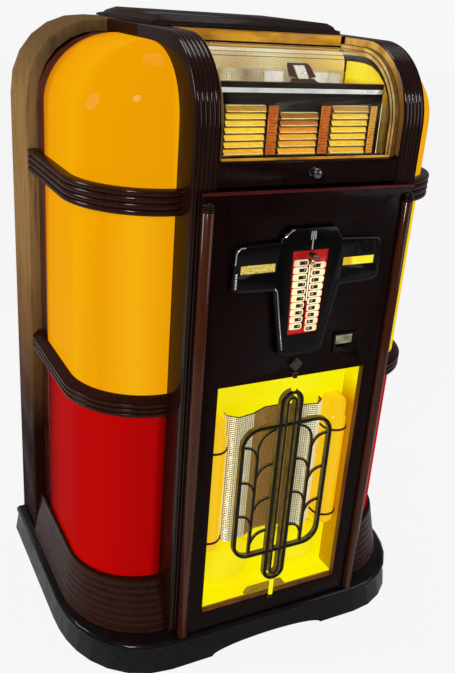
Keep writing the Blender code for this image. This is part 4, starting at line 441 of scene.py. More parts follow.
def walled(mesh, thickness, *materials):
    """Gives an open sheet its thickness inwards and closes its rim."""
    shape = bmesh.new()
    shape.from_mesh(mesh)
    bmesh.ops.recalc_face_normals(shape, faces=shape.faces)
    shape.normal_update()
    shape.to_mesh(mesh)
    shape.free()
    helper = placed("sheet_helper", mesh)
    wall = helper.modifiers.new("wall", "SOLIDIFY")
    wall.thickness = thickness
    wall.offset = -1.0
    wall.use_even_offset = True
    done = plain_mesh(mesh.name, helper)
    smooth(done, 40)
    for material in materials:
        done.materials.append(material)
    return done


def sheet_rows(side, heights):
    """Rings of an upright sheet round the corner; the first ring is at the rear."""
    rings = [[at(side * PILASTER_HALF, PLASTIC_REAR - (PLASTIC_REAR - CORNER_U) * step / 6, z)
              for z in heights] for step in range(6)]
    for step in range(TURN + 1):
        x, u = corner_ring(side, 0.0, 0.0, pi / 2 * step / TURN)
        rings.append([at(x, u, z) for z in heights])
    return rings


def dome_rows(side):
    """Rings of the upper sheet, which turns over into a soft dome at its top."""
    rings = []
    bend = 14
    for station in range(TURN + 7):
        straight = station < 6
        angle = 0.0 if straight else pi / 2 * (station - 6) / TURN
        exponent = SIDE_EXPONENT + (FRONT_EXPONENT - SIDE_EXPONENT) * sin(angle) ** 2
        ring = []
        for step in range(4):
            ring.append((1.0, DOME_FOOT + (DOME_START - DOME_FOOT) * step / 4))
        for step in range(bend + 1):
            part = cos(pi / 2 * step / bend)
            lift = max(0.0, 1 - part ** exponent) ** (1 / exponent)
            ring.append((part, DOME_START + DOME_RISE * lift))
        points = []
        for part, z in ring:
            x = side * (CORNER_X + CORNER_RADIUS * part * cos(angle))
            back = PLASTIC_REAR - (PLASTIC_REAR - CORNER_U) * station / 6
            u = back if straight else CORNER_U - CORNER_RADIUS * part * sin(angle)
            points.append(at(x, u, z))
        rings.append(points)
    return rings


for label, side in SIDES:
    dome = walled(loft("upper_plastic_" + label, dome_rows(side), closed_ring=False), SHEET_WALL)
    put("dome_sheet_" + label, dome, AMBER_LEFT if side < 0 else AMBER_MIDDLE,
        replaces=("upper_plastic_" + label,))
    for which, material, slot in (
            ("middle", AMBER_MIDDLE if side < 0 else YELLOW_RIGHT, "amber_plastic"),
            ("lower", RED, "red_plastic")):
        low_z, high_z = (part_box(which + "_plastic_" + label)[end].z for end in (0, 1))
        heights = [low_z + (high_z - low_z) * step / 8 for step in range(9)]
        sheet = walled(loft(which + "_sheet", sheet_rows(side, heights), closed_ring=False),
                       SHEET_WALL)
        put(f"{which}_sheet_{label}", sheet, material,
            replaces=(f"{which}_plastic_{label}",))

# Ribbed bands. Two bent mahogany bands on each pilaster cover the joints between the sheets. Their
# half-round ribs are cut along them before they are bent, and the lower band ends in a sloped ledge.
BAND_REACH, RIB_DEPTH = 0.020, 0.0045
UPPER_BAND = (1.041, 1.091)
LOWER_BAND, LEDGE = (0.6155, 0.660), 0.012


def ribs(low, high, count):
    """Rows of half-round ribs between two heights, each with a fine groove under it."""
    rows, pitch = [], (high - low) / count
    for rib in range(count):
        for point in range(9):
            share = point / 8
            rows.append((BAND_REACH - RIB_DEPTH * (1 - bow(share)), 0.0,
                         low + rib * pitch + pitch * (0.04 + 0.92 * share)))
    return rows


for label, side in SIDES:
    rows = ribs(*UPPER_BAND, 4)
    section = [(PLY_BACK, 0.0, UPPER_BAND[0])] + rows + [(PLY_BACK, 0.0, UPPER_BAND[1])]
    put("upper_ribs_" + label, corner_mesh("upper_ribs", side, section),
        MAHOGANY, replaces=("upper_band_" + label,))
    rows = ribs(LOWER_BAND[0], LOWER_BAND[1] - LEDGE, 3)
    section = [(PLY_BACK, 0.0, LOWER_BAND[0])] + rows
    section += [(BAND_REACH - 0.0035, 0.0, LOWER_BAND[1] - LEDGE + 0.001),
                (0.004, 0.0, LOWER_BAND[1] - 0.0004), (PLY_BACK, 0.0, LOWER_BAND[1])]
    put("lower_ribs_" + label, corner_mesh("lower_ribs", side, section),
        MAHOGANY, replaces=("lower_band_" + label,))

# Rear arch frames and shell. Behind the sheets stands a glossy red-brown arch, and behind it the
# moulded plywood shell with a walnut-brown veneer over its sides and top. The two are glued.


def tinted(material, axis, low, high, stops, target="Emission Color"):
    """Multiplies a colour by a ramp that runs along an axis between two places."""
    nodes, links = material.node_tree.nodes, material.node_tree.links
    place = nodes.new("ShaderNodeTexCoord")
    split = nodes.new("ShaderNodeSeparateXYZ")
    share = nodes.new("ShaderNodeMapRange")
    share.inputs["From Min"].default_value = low
    share.inputs["From Max"].default_value = high
    blend = nodes.new("ShaderNodeMixRGB")
    blend.blend_type = "MULTIPLY"
    blend.inputs[0].default_value = 1.0
    socket = shader_of(material).inputs[target]
    links.new(place.outputs["Object"], split.inputs[0])
    links.new(split.outputs[axis], share.inputs["Value"])
    links.new(socket.links[0].from_socket, blend.inputs[1])
    links.new(ramp(material, share.outputs["Result"], stops), blend.inputs[2])
    links.new(blend.outputs[0], socket)


ARCH_RED = lacquer("arch_lacquer", (0.040, 0.0055, 0.0028), 0.18)
SHADED_VENEER = wood("shell_veneer", (0.130, 0.068, 0.022), (0.260, 0.145, 0.052), 0.62,
              (1.0, 1.0, 0.045), 0.0)
# The tint up the shell is painted light: dark towards the foot as painted shade, full bright higher up
# as a painted sheen, and a little darker again at the very top.
tinted(SHADED_VENEER, "Z", 0.0, cad_high.z, (
    (0.28, (0.07, 0.015, 0.01)), (0.45, (0.60, 0.50, 0.42)), (0.62, (1.0, 1.0, 1.0)),
    (0.86, (1.0, 1.0, 1.0)), (0.95, (0.45, 0.45, 0.48))), "Base Color")
for label, side in SIDES:
    dressed("rear_frame_" + label, ARCH_RED, limit=45)
dressed("cabinet_shell", SHADED_VENEER, limit=45)

# Rear board. A painted fibreboard panel closes the back, held by screws round its edge. Two groups of
# ventilation slots are punched through it.


def flecked(name, colour, roughness, scale, stops, relief, stretch=(1.0, 1.0, 1.0), detail=3.0,
            **sockets):
    """A fibrous surface such as board, felt, paper or cloth, with flecks and a fine nap."""
    material = plain(name, colour, roughness, **sockets)
    flecks = texture(material, scale, stretch, detail=detail).outputs["Fac"]
    ramp(material, flecks, stops, "Base Color")
    bump(material, flecks, relief)
    return material


BOARD = flecked("rear_board", (0.045, 0.032, 0.022), 0.75, 240.0, (
    (0.3, (0.030, 0.021, 0.014)), (0.7, (0.075, 0.055, 0.038))), 0.0006, (1.0, 1.0, 0.35), 5.0)
dressed("back_panel", BOARD)


def metal(name, colour, roughness):
    """Plated or bare metal with rubbed patches and a fine grain."""
    material = plain(name, colour, roughness, metallic=1.0)
    cloud = texture(material, 30.0, detail=4.0)
    darker = tuple(channel * 0.72 for channel in colour)
    ramp(material, cloud.outputs["Fac"], ((0.35, colour), (0.8, darker)), "Base Color")
    grain = texture(material, 340.0, detail=2.0)
    ramp(material, grain.outputs["Fac"], ((0.3, roughness * 0.7), (0.8, roughness * 1.7)),
         "Roughness")
    bump(material, grain.outputs["Fac"], 0.0002)
    return material


STEEL = metal("screw_steel", (0.42, 0.41, 0.39), 0.32)


def tree_with(name, inputs):
    """A new Geometry Nodes tree with a geometry socket at each end and the named inputs."""
    group = bpy.data.node_groups.new(name, "GeometryNodeTree")
    group.interface.new_socket("Geometry", in_out="INPUT", socket_type="NodeSocketGeometry")
    for label, kind, value in inputs:
        socket = group.interface.new_socket(label, in_out="INPUT", socket_type="NodeSocket" + kind)
        if value is not None:
            socket.default_value = value
    group.interface.new_socket("Geometry", in_out="OUTPUT", socket_type="NodeSocketGeometry")
    return group, group.nodes.new("NodeGroupInput"), group.nodes.new("NodeGroupOutput")


def baked(name, start, group, values):
    """Runs a tree on a start mesh with its inputs set by name, and returns the plain mesh."""
    helper = placed(name + "_helper", start)
    modifier = helper.modifiers.new("tree", "NODES")
    modifier.node_group = group
    for item in group.interface.items_tree:
        if item.in_out == "INPUT" and item.name in values:
            modifier[item.identifier] = values[item.name]
    return plain_mesh(name, helper)


# This tree sets a like piece on every point of a mesh.
scatter, scatter_in, scatter_out = tree_with("like_pieces", (
    ("Piece", "Object", None), ("Size", "Float", 1.0), ("Size change", "Float", 0.0),
    ("Seed", "Int", 3), ("Finish", "Material", None)))
info = scatter.nodes.new("GeometryNodeObjectInfo")
grown = scatter.nodes.new("FunctionNodeRandomValue")
grown.data_type = "FLOAT"
largest = scatter.nodes.new("ShaderNodeMath")
largest.operation = "ADD"
spread = scatter.nodes.new("GeometryNodeInstanceOnPoints")
real = scatter.nodes.new("GeometryNodeRealizeInstances")
painted = scatter.nodes.new("GeometryNodeSetMaterial")
for source, target in (
        (scatter_in.outputs["Piece"], info.inputs["Object"]),
        (scatter_in.outputs["Geometry"], spread.inputs["Points"]),
        (info.outputs["Geometry"], spread.inputs["Instance"]),
        (scatter_in.outputs["Size"], grown.inputs[2]),
        (scatter_in.outputs["Size"], largest.inputs[0]),
        (scatter_in.outputs["Size change"], largest.inputs[1]),
        (largest.outputs[0], grown.inputs[3]),
        (scatter_in.outputs["Seed"], grown.inputs["Seed"]),
        (grown.outputs[1], spread.inputs["Scale"]),
        (spread.outputs[0], real.inputs[0]),
        (real.outputs[0], painted.inputs["Geometry"]),
        (scatter_in.outputs["Finish"], painted.inputs["Material"]),
        (painted.outputs[0], scatter_out.inputs["Geometry"])):
    scatter.links.new(source, target)


def repeated(name, piece_mesh, points, material):
    """A small mesh made round the origin, set on each point and joined into one mesh."""
    pattern = placed(name + "_pattern", piece_mesh)
    start = bpy.data.meshes.new(name + "_points")
    start.from_pydata([tuple(point) for point in points], [], [])
    mesh = baked(name, start, scatter, {"Piece": pattern, "Finish": material})
    bpy.data.objects.remove(pattern)
    smooth(mesh, 40)
    return mesh


def turned(name, profile, centre, steps=32, limit=40, upright=False, material=None):
    """(radius, height) pairs spun round an axis that looks forward, or up, from the centre."""
    shape = bmesh.new()
    rings = []
    for radius, height in profile:
        if radius < 0.00001:
            rings.append([shape.verts.new((0, 0, height))])
            continue
        rings.append([shape.verts.new((radius * cos(2 * pi * step / steps),
                                       radius * sin(2 * pi * step / steps), height))
                      for step in range(steps)])
    for first, second in zip(rings, rings[1:]):
        for step in range(steps):
            beside = (step + 1) % steps
            around = []
            for ring, order in ((first, (step, beside)), (second, (beside, step))):
                around += [ring[0]] if len(ring) == 1 else [ring[index] for index in order]
            shape.faces.new(around)
    for ring in (rings[0], rings[-1]):
        if len(ring) > 1:
            shape.faces.new(ring)
    bmesh.ops.recalc_face_normals(shape, faces=shape.faces)
    turn = Matrix.Identity(4) if upright else Matrix.Rotation(radians(90), 4, "X")
    shape.transform(Matrix.Translation(centre) @ turn)
    return finished(name, shape, limit, material)


screw = turned("screw", ((0.0, -0.0009), (0.0034, -0.0008), (0.0046, -0.0003), (0.0048, 0.0006)),
               (0, 0, 0), 16)
SCREW_EDGE, SCREW_SINK = 0.012, 0.0010
low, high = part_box("back_panel")
spots = []
for share in (0.06, 0.28, 0.5, 0.72, 0.94):
    z = low.z + (high.z - low.z) * 0.8 * share + 0.02
    spots += [Vector((x, high.y - SCREW_SINK, z)) for x in (low.x + SCREW_EDGE, high.x - SCREW_EDGE)]
spots += [Vector((share * (high.x - 0.02), high.y - SCREW_SINK, low.z + SCREW_EDGE))
          for share in (-0.6, 0.0, 0.6)]
screws = repeated("rear_screws", screw, spots, STEEL)
put("rear_screws", screws, STEEL)

# Fascia stiles. Two mahogany stiles carry five half-round reeds each, up the front and back over the
# top in one steam-bent sweep. They are glued to the cabinet's front corners.
SWEEP_RADIUS, SWEEP_Z = 0.155, 1.210
STILE_OUTER, STILE_INNER = 0.2515, 0.200
STILE_FOOT, STILE_END = 0.0705, 0.298
STILE_DEPTH = 0.069
REEDS, REED_PITCH, REED_DEPTH = 5, 0.0088, 0.0022


def fascia_rings(section, start_z, end_u, steps=32):
    """Rings of an (x, depth) section up the front, over the turn and back along the top."""
    rings = [[at(x, depth, start_z + (SWEEP_Z - start_z) * step / 4) for x, depth in section]
             for step in range(4)]
    for step in range(steps + 1):
        angle = pi / 2 * step / steps
        rings.append([at(x, SWEEP_RADIUS - (SWEEP_RADIUS - depth) * cos(angle),
                         SWEEP_Z + (SWEEP_RADIUS - depth) * sin(angle)) for x, depth in section])
    top = SWEEP_Z + SWEEP_RADIUS
    rings.append([at(x, end_u, top - depth) for x, depth in section])
    return rings


STILE_WOOD = wood("stile_wood", (0.0052, 0.0013, 0.0008), (0.014, 0.0032, 0.0015), 0.22, coat=0.3)
for label, side in SIDES:
    section = [(side * STILE_OUTER, STILE_DEPTH), (side * STILE_OUTER, 0.0030),
               (side * (STILE_OUTER - 0.0009), 0.0009), (side * (STILE_OUTER - 0.0030), 0.0002)]
    start = STILE_OUTER - (STILE_OUTER - STILE_INNER - REEDS * REED_PITCH) / 2
    for reed in range(REEDS):
        for point in range(9):
            share = point / 8
            section.append((side * (start - REED_PITCH * (reed + 0.03 + 0.94 * share)),
                            0.0002 + REED_DEPTH * (1 - bow(share, 2.4))))
    section += [(side * (STILE_INNER + 0.0030), 0.0002), (side * (STILE_INNER + 0.0009), 0.0009),
                (side * STILE_INNER, 0.0030), (side * STILE_INNER, STILE_DEPTH)]
    mesh = loft("reeded_stile_" + label, fascia_rings(section, STILE_FOOT, STILE_END), limit=42)
    put("reeded_stile_" + label, mesh, STILE_WOOD, replaces=("stile_" + label,))

# Top board and cap. A flat mahogany board ties the stiles to the shell, and a low cap with moulded
# ends covers the seam down the middle of the top. Both are glued and pinned from below.
dressed("top_board", MAHOGANY)
CAP_WOOD = wood("cap_wood", (0.0060, 0.0036, 0.0028), (0.022, 0.015, 0.012), 0.34, (1.0, 0.06, 1.0),
                0.05)
dressed("cap", CAP_WOOD, limit=28)

# Deck and record changer. A painted steel deck carries a magazine of shellac discs on its post, the
# turntable on its lift column, the swinging tray, the tone arm and the drive motor, all bolted on.
DECK_PAINT = lacquer("deck_paint", (0.030, 0.022, 0.016), 0.4)
MACHINE = lacquer("machine_black", (0.010, 0.010, 0.011), 0.35)
CHASSIS = metal("chassis_steel", (0.40, 0.39, 0.37), 0.36)
CHROME = metal("bright_chrome", (0.78, 0.78, 0.79), 0.10)
FELT = flecked("platter_felt", (0.05, 0.012, 0.010), 0.95, 900.0, (
    (0.3, (0.035, 0.008, 0.007)), (0.7, (0.08, 0.022, 0.018))), 0.0008, sheen_weight=0.4)
SHELLAC = plain("shellac_disc", (0.006, 0.006, 0.006), 0.22)
grooves = texture(SHELLAC, 14.0, detail=2.0)
ramp(SHELLAC, grooves.outputs["Fac"], ((0.3, 0.16), (0.7, 0.34)), "Roughness")
waves = texture(SHELLAC, 130.0, (1.0, 1.0, 0.0), "Wave")
waves.wave_type = "RINGS"
waves.rings_direction = "Z"
bump(SHELLAC, waves.outputs["Fac"], 0.0002)
ARM_BROWN = lacquer("arm_brown", (0.05, 0.018, 0.008), 0.3)
dressed("mechanism_deck", DECK_PAINT)
dressed("record_stack", SHELLAC)
dressed("record_tray", CHASSIS, "record_tray")
dressed("lift_column", CHASSIS, "lift_column")
dressed("turntable", FELT, "turntable")
dressed("tone_arm", ARM_BROWN, "tone_arm")
dressed("changer_motor", MACHINE)

# Title rack. A painted rack behind the lid window holds three columns of slanted title holders, each
# a lit paper strip in a folded metal lip. Perforated plates stand beside the columns.
RACK_PAINT = lacquer("rack_paint", (0.0060, 0.0026, 0.0018), 0.35)
dressed("title_rack", RACK_PAINT)
dressed("chrome_bar", CHROME, name="rack_chrome_bar")
TITLE_FOOT, TITLE_PITCH, TITLE_WIDTH = 1.157, 0.0128, 0.088
TITLE_FRONT, TITLE_LEAN = 0.040, 0.0045
TIP_START, TIP_SLANT = 0.002, 0.35
COLUMNS = (("left", -0.17863, 7), ("centre", -0.06265, 6), ("right", 0.05333, 7))


def joined(name, meshes):
    """One mesh of several, with their materials kept in order."""
    shape = bmesh.new()
    whole = bpy.data.meshes.new(name)
    for mesh in meshes:
        start = len(shape.faces)
        shape.from_mesh(mesh)
        shape.faces.ensure_lookup_table()
        if mesh.materials:
            kept = list(whole.materials)
            for material in mesh.materials:
                if material not in kept:
                    whole.materials.append(material)
                    kept.append(material)
            for face in shape.faces[start:]:
                own = mesh.materials[min(face.material_index, len(mesh.materials) - 1)]
                face.material_index = kept.index(own)
    shape.to_mesh(whole)
    shape.free()
    return whole


def assembled(name, meshes, body="root", replaces=()):
    """One piece of several meshes, each with its own material."""
    put(name, joined(name, meshes), None, body, replaces)


def box(low, high, material, edge):
    """A block between two (x, u, z) corners, with rounded edges."""
    shape = bmesh.new()
    low, high = at(*low), at(*high)
    bmesh.ops.create_cube(shape, size=1.0)
    for vertex in shape.verts:
        share = vertex.co + Vector((0.5, 0.5, 0.5))
        vertex.co = Vector(low[axis] + (high[axis] - low[axis]) * share[axis] for axis in range(3))
    bmesh.ops.bevel(shape, geom=shape.edges[:], offset=edge, segments=3, profile=0.5, affect="EDGES")
    return finished("box", shape, 50, material)


def glowing(name, colour, strength, deeper, scale=22.0, stretch=(1.0, 1.0, 1.0), roughness=0.35):
    """Painted glow for light on or through a surface, uneven as paper, enamel or a reflector is."""
    material = plain(name, tuple(channel * 0.15 for channel in colour), roughness,
                     specular_ior_level=0.15)
    shader = shader_of(material)
    cloud = texture(material, scale, stretch, detail=4.0)
    ramp(material, cloud.outputs["Fac"], ((0.32, deeper), (0.62, colour)), "Emission Color")
    shader.inputs["Emission Strength"].default_value = strength
    fine = texture(material, scale * 14, stretch, detail=2.0)
    bump(material, fine.outputs["Fac"], 0.0002)
    return material


CARD_YELLOW = glowing("title_card_yellow", (0.92, 0.66, 0.030), 0.92, (0.84, 0.44, 0.012), 60.0,
                      (1.0, 1.0, 4.0))
# The cards' glow is painted light from the bay. This ramp paints shade over the top row and a dimmer,
# warmer light on the bottom row.
tinted(CARD_YELLOW, "Z", 1.155, 1.247, (
    (0.0, (0.80, 0.50, 0.30)), (0.22, (0.95, 0.85, 0.7)), (0.45, (1.0, 1.0, 1.0)),
    (0.80, (0.9, 0.85, 0.8)), (0.90, (0.36, 0.24, 0.5))))
CARD_ORANGE = glowing("title_card_orange", (0.90, 0.44, 0.016), 0.86, (0.76, 0.28, 0.008), 60.0,
                      (1.0, 1.0, 4.0))
# This ramp paints shade over the centre column's upper rows.
tinted(CARD_ORANGE, "Z", 1.155, 1.247, (
    (0.0, (1.0, 1.0, 1.0)), (0.45, (0.95, 0.85, 0.8)), (0.58, (0.65, 0.28, 0.3)),
    (0.70, (0.30, 0.16, 0.6)), (0.82, (0.12, 0.06, 0.3))))
# The lips' cream is a painted highlight along the top edge of each holder.
EDGE_HIGHLIGHT = glowing("title_card_edge", (0.95, 0.86, 0.46), 0.95, (0.72, 0.50, 0.16), 130.0)
HOLDER = metal("title_holder_brass", (0.40, 0.26, 0.08), 0.3)
for label, left, count in COLUMNS:
    right = left + TITLE_WIDTH
    card = box((left + 0.0035, TITLE_FRONT - 0.0006, 0.0),
               (right - 0.0015, TITLE_FRONT, TITLE_PITCH * 0.66), None, 0.0002)
    lip = box((left + 0.0046, TITLE_FRONT - 0.0012, -0.0004),
              (right - 0.0020, TITLE_FRONT + 0.0004, 0.0006), None, 0.0003)
    tip = box((left - 0.0002, TITLE_FRONT - 0.0011, -0.001),
              (left + 0.0045, TITLE_FRONT + 0.0002, TITLE_PITCH * 0.72), None, 0.0002)
    for mesh in (card, tip):
        for vertex in mesh.vertices:
            vertex.co.y += vertex.co.z * TITLE_LEAN / TITLE_PITCH
    for vertex in tip.vertices:
        if vertex.co.x > left + TIP_START:
            vertex.co.x -= vertex.co.z * TIP_SLANT
    rows = [Vector((0, 0, TITLE_FOOT + TITLE_PITCH * (row + 0.2))) for row in range(count)]
    shade = CARD_ORANGE if label == "centre" else CARD_YELLOW
    parts = [repeated("cards_" + label, card, rows, shade),
             repeated("lips_" + label, lip, rows + [rows[-1] + Vector((0, 0.004, TITLE_PITCH * 0.8))],
                      EDGE_HIGHLIGHT),
             repeated("tips_" + label, tip, rows, RACK_PAINT)]
    assembled("title_strips_" + label, parts)
    dressed("title_column_" + label, HOLDER, name="title_holders_" + label)

dot = turned("dot", ((0.0013, 0.0), (0.0013, 0.0003), (0.0, 0.0003)), (0, 0, 0), 8)
# The perforated plates glow with painted light from the bay.
STRIP_ORANGE = glowing("strip_orange", (0.62, 0.150, 0.006), 0.85, (0.28, 0.045, 0.002), 110.0)
STRIP_GOLD = glowing("strip_gold", (0.72, 0.36, 0.030), 0.85, (0.50, 0.18, 0.008), 110.0)
HOLE_PITCH, HOLE_RISE, STRIP_FACE = 0.0060, 0.0058, 0.0392
pieces, spots = [], []
for left, right, paint in ((-0.0868, -0.0660, STRIP_ORANGE), (0.0292, 0.0500, STRIP_ORANGE),
                           (0.1450, 0.1600, STRIP_GOLD)):
    pieces.append(box((left, STRIP_FACE, TITLE_FOOT + 0.001), (right, 0.0400, TITLE_FOOT + 0.090),
                      paint, 0.0003))
    for row in range(15):
        start = left + 0.0035 + (HOLE_PITCH / 2 if row % 2 else 0.0)
        spots += [at(start + HOLE_PITCH * column, STRIP_FACE, TITLE_FOOT + 0.006 + row * HOLE_RISE)
                  for column in range(int((right - left - HOLE_PITCH) / HOLE_PITCH) + 1)]
# A thin post beside the gold plate carries the same painted highlight as the lips.
post = box((0.1700, STRIP_FACE, TITLE_FOOT), (0.1710, 0.0402, TITLE_FOOT + 0.094), EDGE_HIGHLIGHT, 0.0003)
pieces += [repeated("perforations", dot, spots, RACK_PAINT), post]
assembled("perforated_strips", pieces)

# Lit cheeks, wire screen and lamp. Painted side cheeks glow beside the titles. A square-mesh wire
# screen, sheet reflectors and a curved cove close the bay behind, and a small lamp housing with
# sheet-metal wings stands on the rack's top rail.
CHEEK_GLOW = glowing("cheek_enamel", (0.84, 0.68, 0.008), 0.95, (0.78, 0.50, 0.006), 12.0)
# The cheeks' glow is painted light; this ramp paints shade over all but their top, darkest low down.
tinted(CHEEK_GLOW, "Z", 1.12, 1.32, (
    (0.10, (0.0, 0.0, 0.0)), (0.22, (0.05, 0.02, 0.0)), (0.62, (0.10, 0.04, 0.01)),
    (0.76, (0.60, 0.40, 0.2)), (0.84, (1.0, 1.0, 1.0))))
for label, side in SIDES:
    dressed("cheek_" + label, CHEEK_GLOW)

wires, wires_in, wires_out = tree_with("wires_on_paths", (
    ("Radius", "Float", 0.001), ("Corners", "Int", 6), ("Finish", "Material", None)))
curve = wires.nodes.new("GeometryNodeMeshToCurve")
profile = wires.nodes.new("GeometryNodeCurvePrimitiveCircle")
skin = wires.nodes.new("GeometryNodeCurveToMesh")
skin.inputs["Fill Caps"].default_value = True
real = wires.nodes.new("GeometryNodeRealizeInstances")
painted = wires.nodes.new("GeometryNodeSetMaterial")
for source, target in (
        (wires_in.outputs["Geometry"], curve.inputs[0]),
        (wires_in.outputs["Radius"], profile.inputs["Radius"]),
        (wires_in.outputs["Corners"], profile.inputs["Resolution"]),
        (curve.outputs[0], skin.inputs["Curve"]),
        (profile.outputs[0], skin.inputs["Profile Curve"]),
        (skin.outputs[0], real.inputs[0]),
        (real.outputs[0], painted.inputs["Geometry"]),
        (wires_in.outputs["Finish"], painted.inputs["Material"]),
        (painted.outputs[0], wires_out.inputs["Geometry"])):
    wires.links.new(source, target)


def four_corners(x, z, half_width, half_height):
    """The (x, z) corners of a rectangle about its middle."""
    return [(x + across * half_width, z + up * half_height)
            for across, up in ((-1, -1), (1, -1), (1, 1), (-1, 1))]


def wire_mesh(name, routes, radius, material, corners=6, closed=False):
    """Round wire along routes of points, all in one mesh."""
    vertices, edges = [], []
    for route in routes:
        first = len(vertices)
        vertices += [tuple(point) for point in route]
        edges += [(first + step, first + step + 1) for step in range(len(route) - 1)]
        if closed:
            edges.append((len(vertices) - 1, first))
    start = bpy.data.meshes.new(name + "_routes")
    start.from_pydata(vertices, edges, [])
    mesh = baked(name, start, wires, {"Radius": radius, "Corners": corners, "Finish": material})
    smooth(mesh, 50)
    return mesh


SCREEN_WIRE = metal("screen_wire", (0.62, 0.60, 0.54), 0.3)
SCREEN_PITCH, SCREEN_EDGE, RIM_EDGE = 0.0056, 0.001, 0.0012
low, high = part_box("mesh_screen")
middle = (low.y + high.y) / 2
left, right = low.x + SCREEN_EDGE, high.x - SCREEN_EDGE
foot, head = low.z + SCREEN_EDGE, high.z - SCREEN_EDGE
routes = [[Vector((left + SCREEN_PITCH * step, middle - 0.0005, z)) for z in (foot, head)]
          for step in range(int((high.x - low.x) / SCREEN_PITCH) + 1)]
routes += [[Vector((x, middle + 0.0004, foot + SCREEN_PITCH * step)) for x in (left, right)]
           for step in range(int((high.z - low.z) / SCREEN_PITCH) + 1)]
rim = [Vector((x, middle, z)) for x, z in four_corners(
    (low.x + high.x) / 2, (low.z + high.z) / 2, (high.x - low.x) / 2 - RIM_EDGE,
    (high.z - low.z) / 2 - RIM_EDGE)]
assembled("wire_screen", [wire_mesh("screen_wires", routes, 0.00055, SCREEN_WIRE, 5),
                          wire_mesh("screen_rim", [rim], 0.0012, SCREEN_WIRE, closed=True)],
          replaces=("mesh_screen",))

WING_BROWN = lacquer("wing_brown", (0.040, 0.012, 0.006), 0.25)
LENS = glowing("lamp_lens", (0.90, 0.86, 0.74), 0.9, (0.10, 0.06, 0.04), 420.0)
LAMP_LEAN = 0.035
low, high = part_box("indicator_lamp")


def lamp_plate(outline, start, thickness, material, follow=0.95):
    """A plate of (x, share of the height) points that leans back as the lamp does."""
    return loft("lamp_plate", [[
        Vector((x, low.y + start + LAMP_LEAN * up * follow + depth, low.z + (high.z - low.z) * up))
        for x, up in outline] for depth in (0.0, thickness)], material=material)


meshes = [lamp_plate([(-0.028, 0.0), (0.028, 0.0), (0.024, 0.16), (-0.024, 0.16)], 0.0010, 0.010,
                     WING_BROWN, 0.98)]
meshes += [lamp_plate([(side * 0.0120, 0.20), (side * 0.0290, 0.30), (side * 0.0250, 0.90),
                       (side * 0.0130, 0.86)], 0.0015, 0.004, WING_BROWN) for side in (-1, 1)]
meshes += [lamp_plate([(-half, foot), (half, foot), (half * 0.94, head), (-half * 0.94, head)],
                      0.0010, 0.006, WING_BROWN)
           for half, foot, head in ((0.0225, 0.88, 0.99), (0.0310, 0.0, 0.07), (0.0250, 0.10, 0.20))]
meshes.append(lamp_plate([(-0.0115, 0.20), (0.0115, 0.20), (0.0120, 0.88), (-0.0120, 0.88)],
                         0.0015, 0.004, LENS))
assembled("winged_lamp", meshes, replaces=("indicator_lamp",))

# Behind the screen, the sheet, the reflectors and the gold cove glow with painted light. The ramps
# along them paint bright and shaded bands that stand for reflections in the bay.
BAY_GLOW = glowing("bay_glow", (0.90, 0.84, 0.62), 0.95, (0.52, 0.36, 0.15), 26.0, (1.0, 1.0, 0.6))
tinted(BAY_GLOW, "X", -0.19, 0.19, (
    (0.0, (0.80, 0.74, 0.6)), (0.10, (1.0, 1.0, 1.0)), (0.20, (0.55, 0.42, 0.26)),
    (0.26, (0.95, 0.92, 0.8)), (0.36, (0.36, 0.24, 0.13)), (0.50, (0.9, 0.86, 0.72)),
    (0.66, (0.40, 0.33, 0.22)), (0.80, (0.80, 0.74, 0.6)), (1.0, (0.8, 0.62, 0.2))))
BAY_HALF, COVE_GRID_RIGHT = 0.183, 0.0695
WHITE_PANEL = glowing("bay_reflector", (0.80, 0.77, 0.68), 0.85, (0.46, 0.41, 0.32), 30.0)
plates = [box((-BAY_HALF, 0.2036, 1.220), (BAY_HALF, 0.2046, 1.297), BAY_GLOW, 0.0002)]
plates += [box((left, front, foot), (right, back, head), WHITE_PANEL, 0.0006)
           for left, right, front, back, foot, head in (
               (-0.014, 0.028, 0.1935, 0.1955, 1.240, 1.293),
               (0.100, 0.138, 0.1935, 0.1955, 1.240, 1.293),
               (0.144, 0.168, 0.1935, 0.1955, 1.240, 1.290),
               (-0.151, 0.151, 0.1955, 0.1990, 1.222, 1.228))]
COVE_GLOW = glowing("cove_gold", (0.93, 0.82, 0.44), 0.95, (0.80, 0.58, 0.20), 9.0, (0.3, 1.0, 1.0))
tinted(COVE_GLOW, "X", -0.19, 0.19, (
    (0.0, (0.95, 0.95, 0.9)), (0.30, (0.55, 0.42, 0.26)), (0.50, (0.85, 0.82, 0.7)),
    (0.72, (0.55, 0.40, 0.2)), (1.0, (0.9, 0.72, 0.3))))
cove_line = [(0.2038, 1.2975)] + [(0.2365 - 0.0325 * cos(pi / 2 * step / 10),
                                   1.3060 + 0.0340 * sin(pi / 2 * step / 10)) for step in range(11)]
cove = loft("cove", [[at(x, u, z) for x in (-BAY_HALF, BAY_HALF)] for u, z in cove_line],
            closed_ring=False)
plates.append(walled(cove, 0.0006, COVE_GLOW))
left = 0.0005 - BAY_HALF
lower = [(u - 0.0010, z - 0.0006) for u, z in cove_line[:8]]
grid = [[at(left + SCREEN_PITCH * step, u, z) for u, z in lower] for step in range(46)]
grid += [[at(x, u, z) for x in (left, COVE_GRID_RIGHT)] for u, z in lower]
plates.append(wire_mesh("cove_grid", grid, 0.0005, SCREEN_WIRE, 5))
COVE_DARK = lacquer("cove_rod", (0.060, 0.030, 0.010), 0.3)
plates += [wire_mesh("cove_rod", [[at(x, u - 0.0018, z - 0.0010) for x in (-0.1828, 0.1828)]],
                     0.0007, COVE_DARK, 8) for u, z in (cove_line[4], cove_line[6], cove_line[9])]
assembled("bay_reflectors", plates)

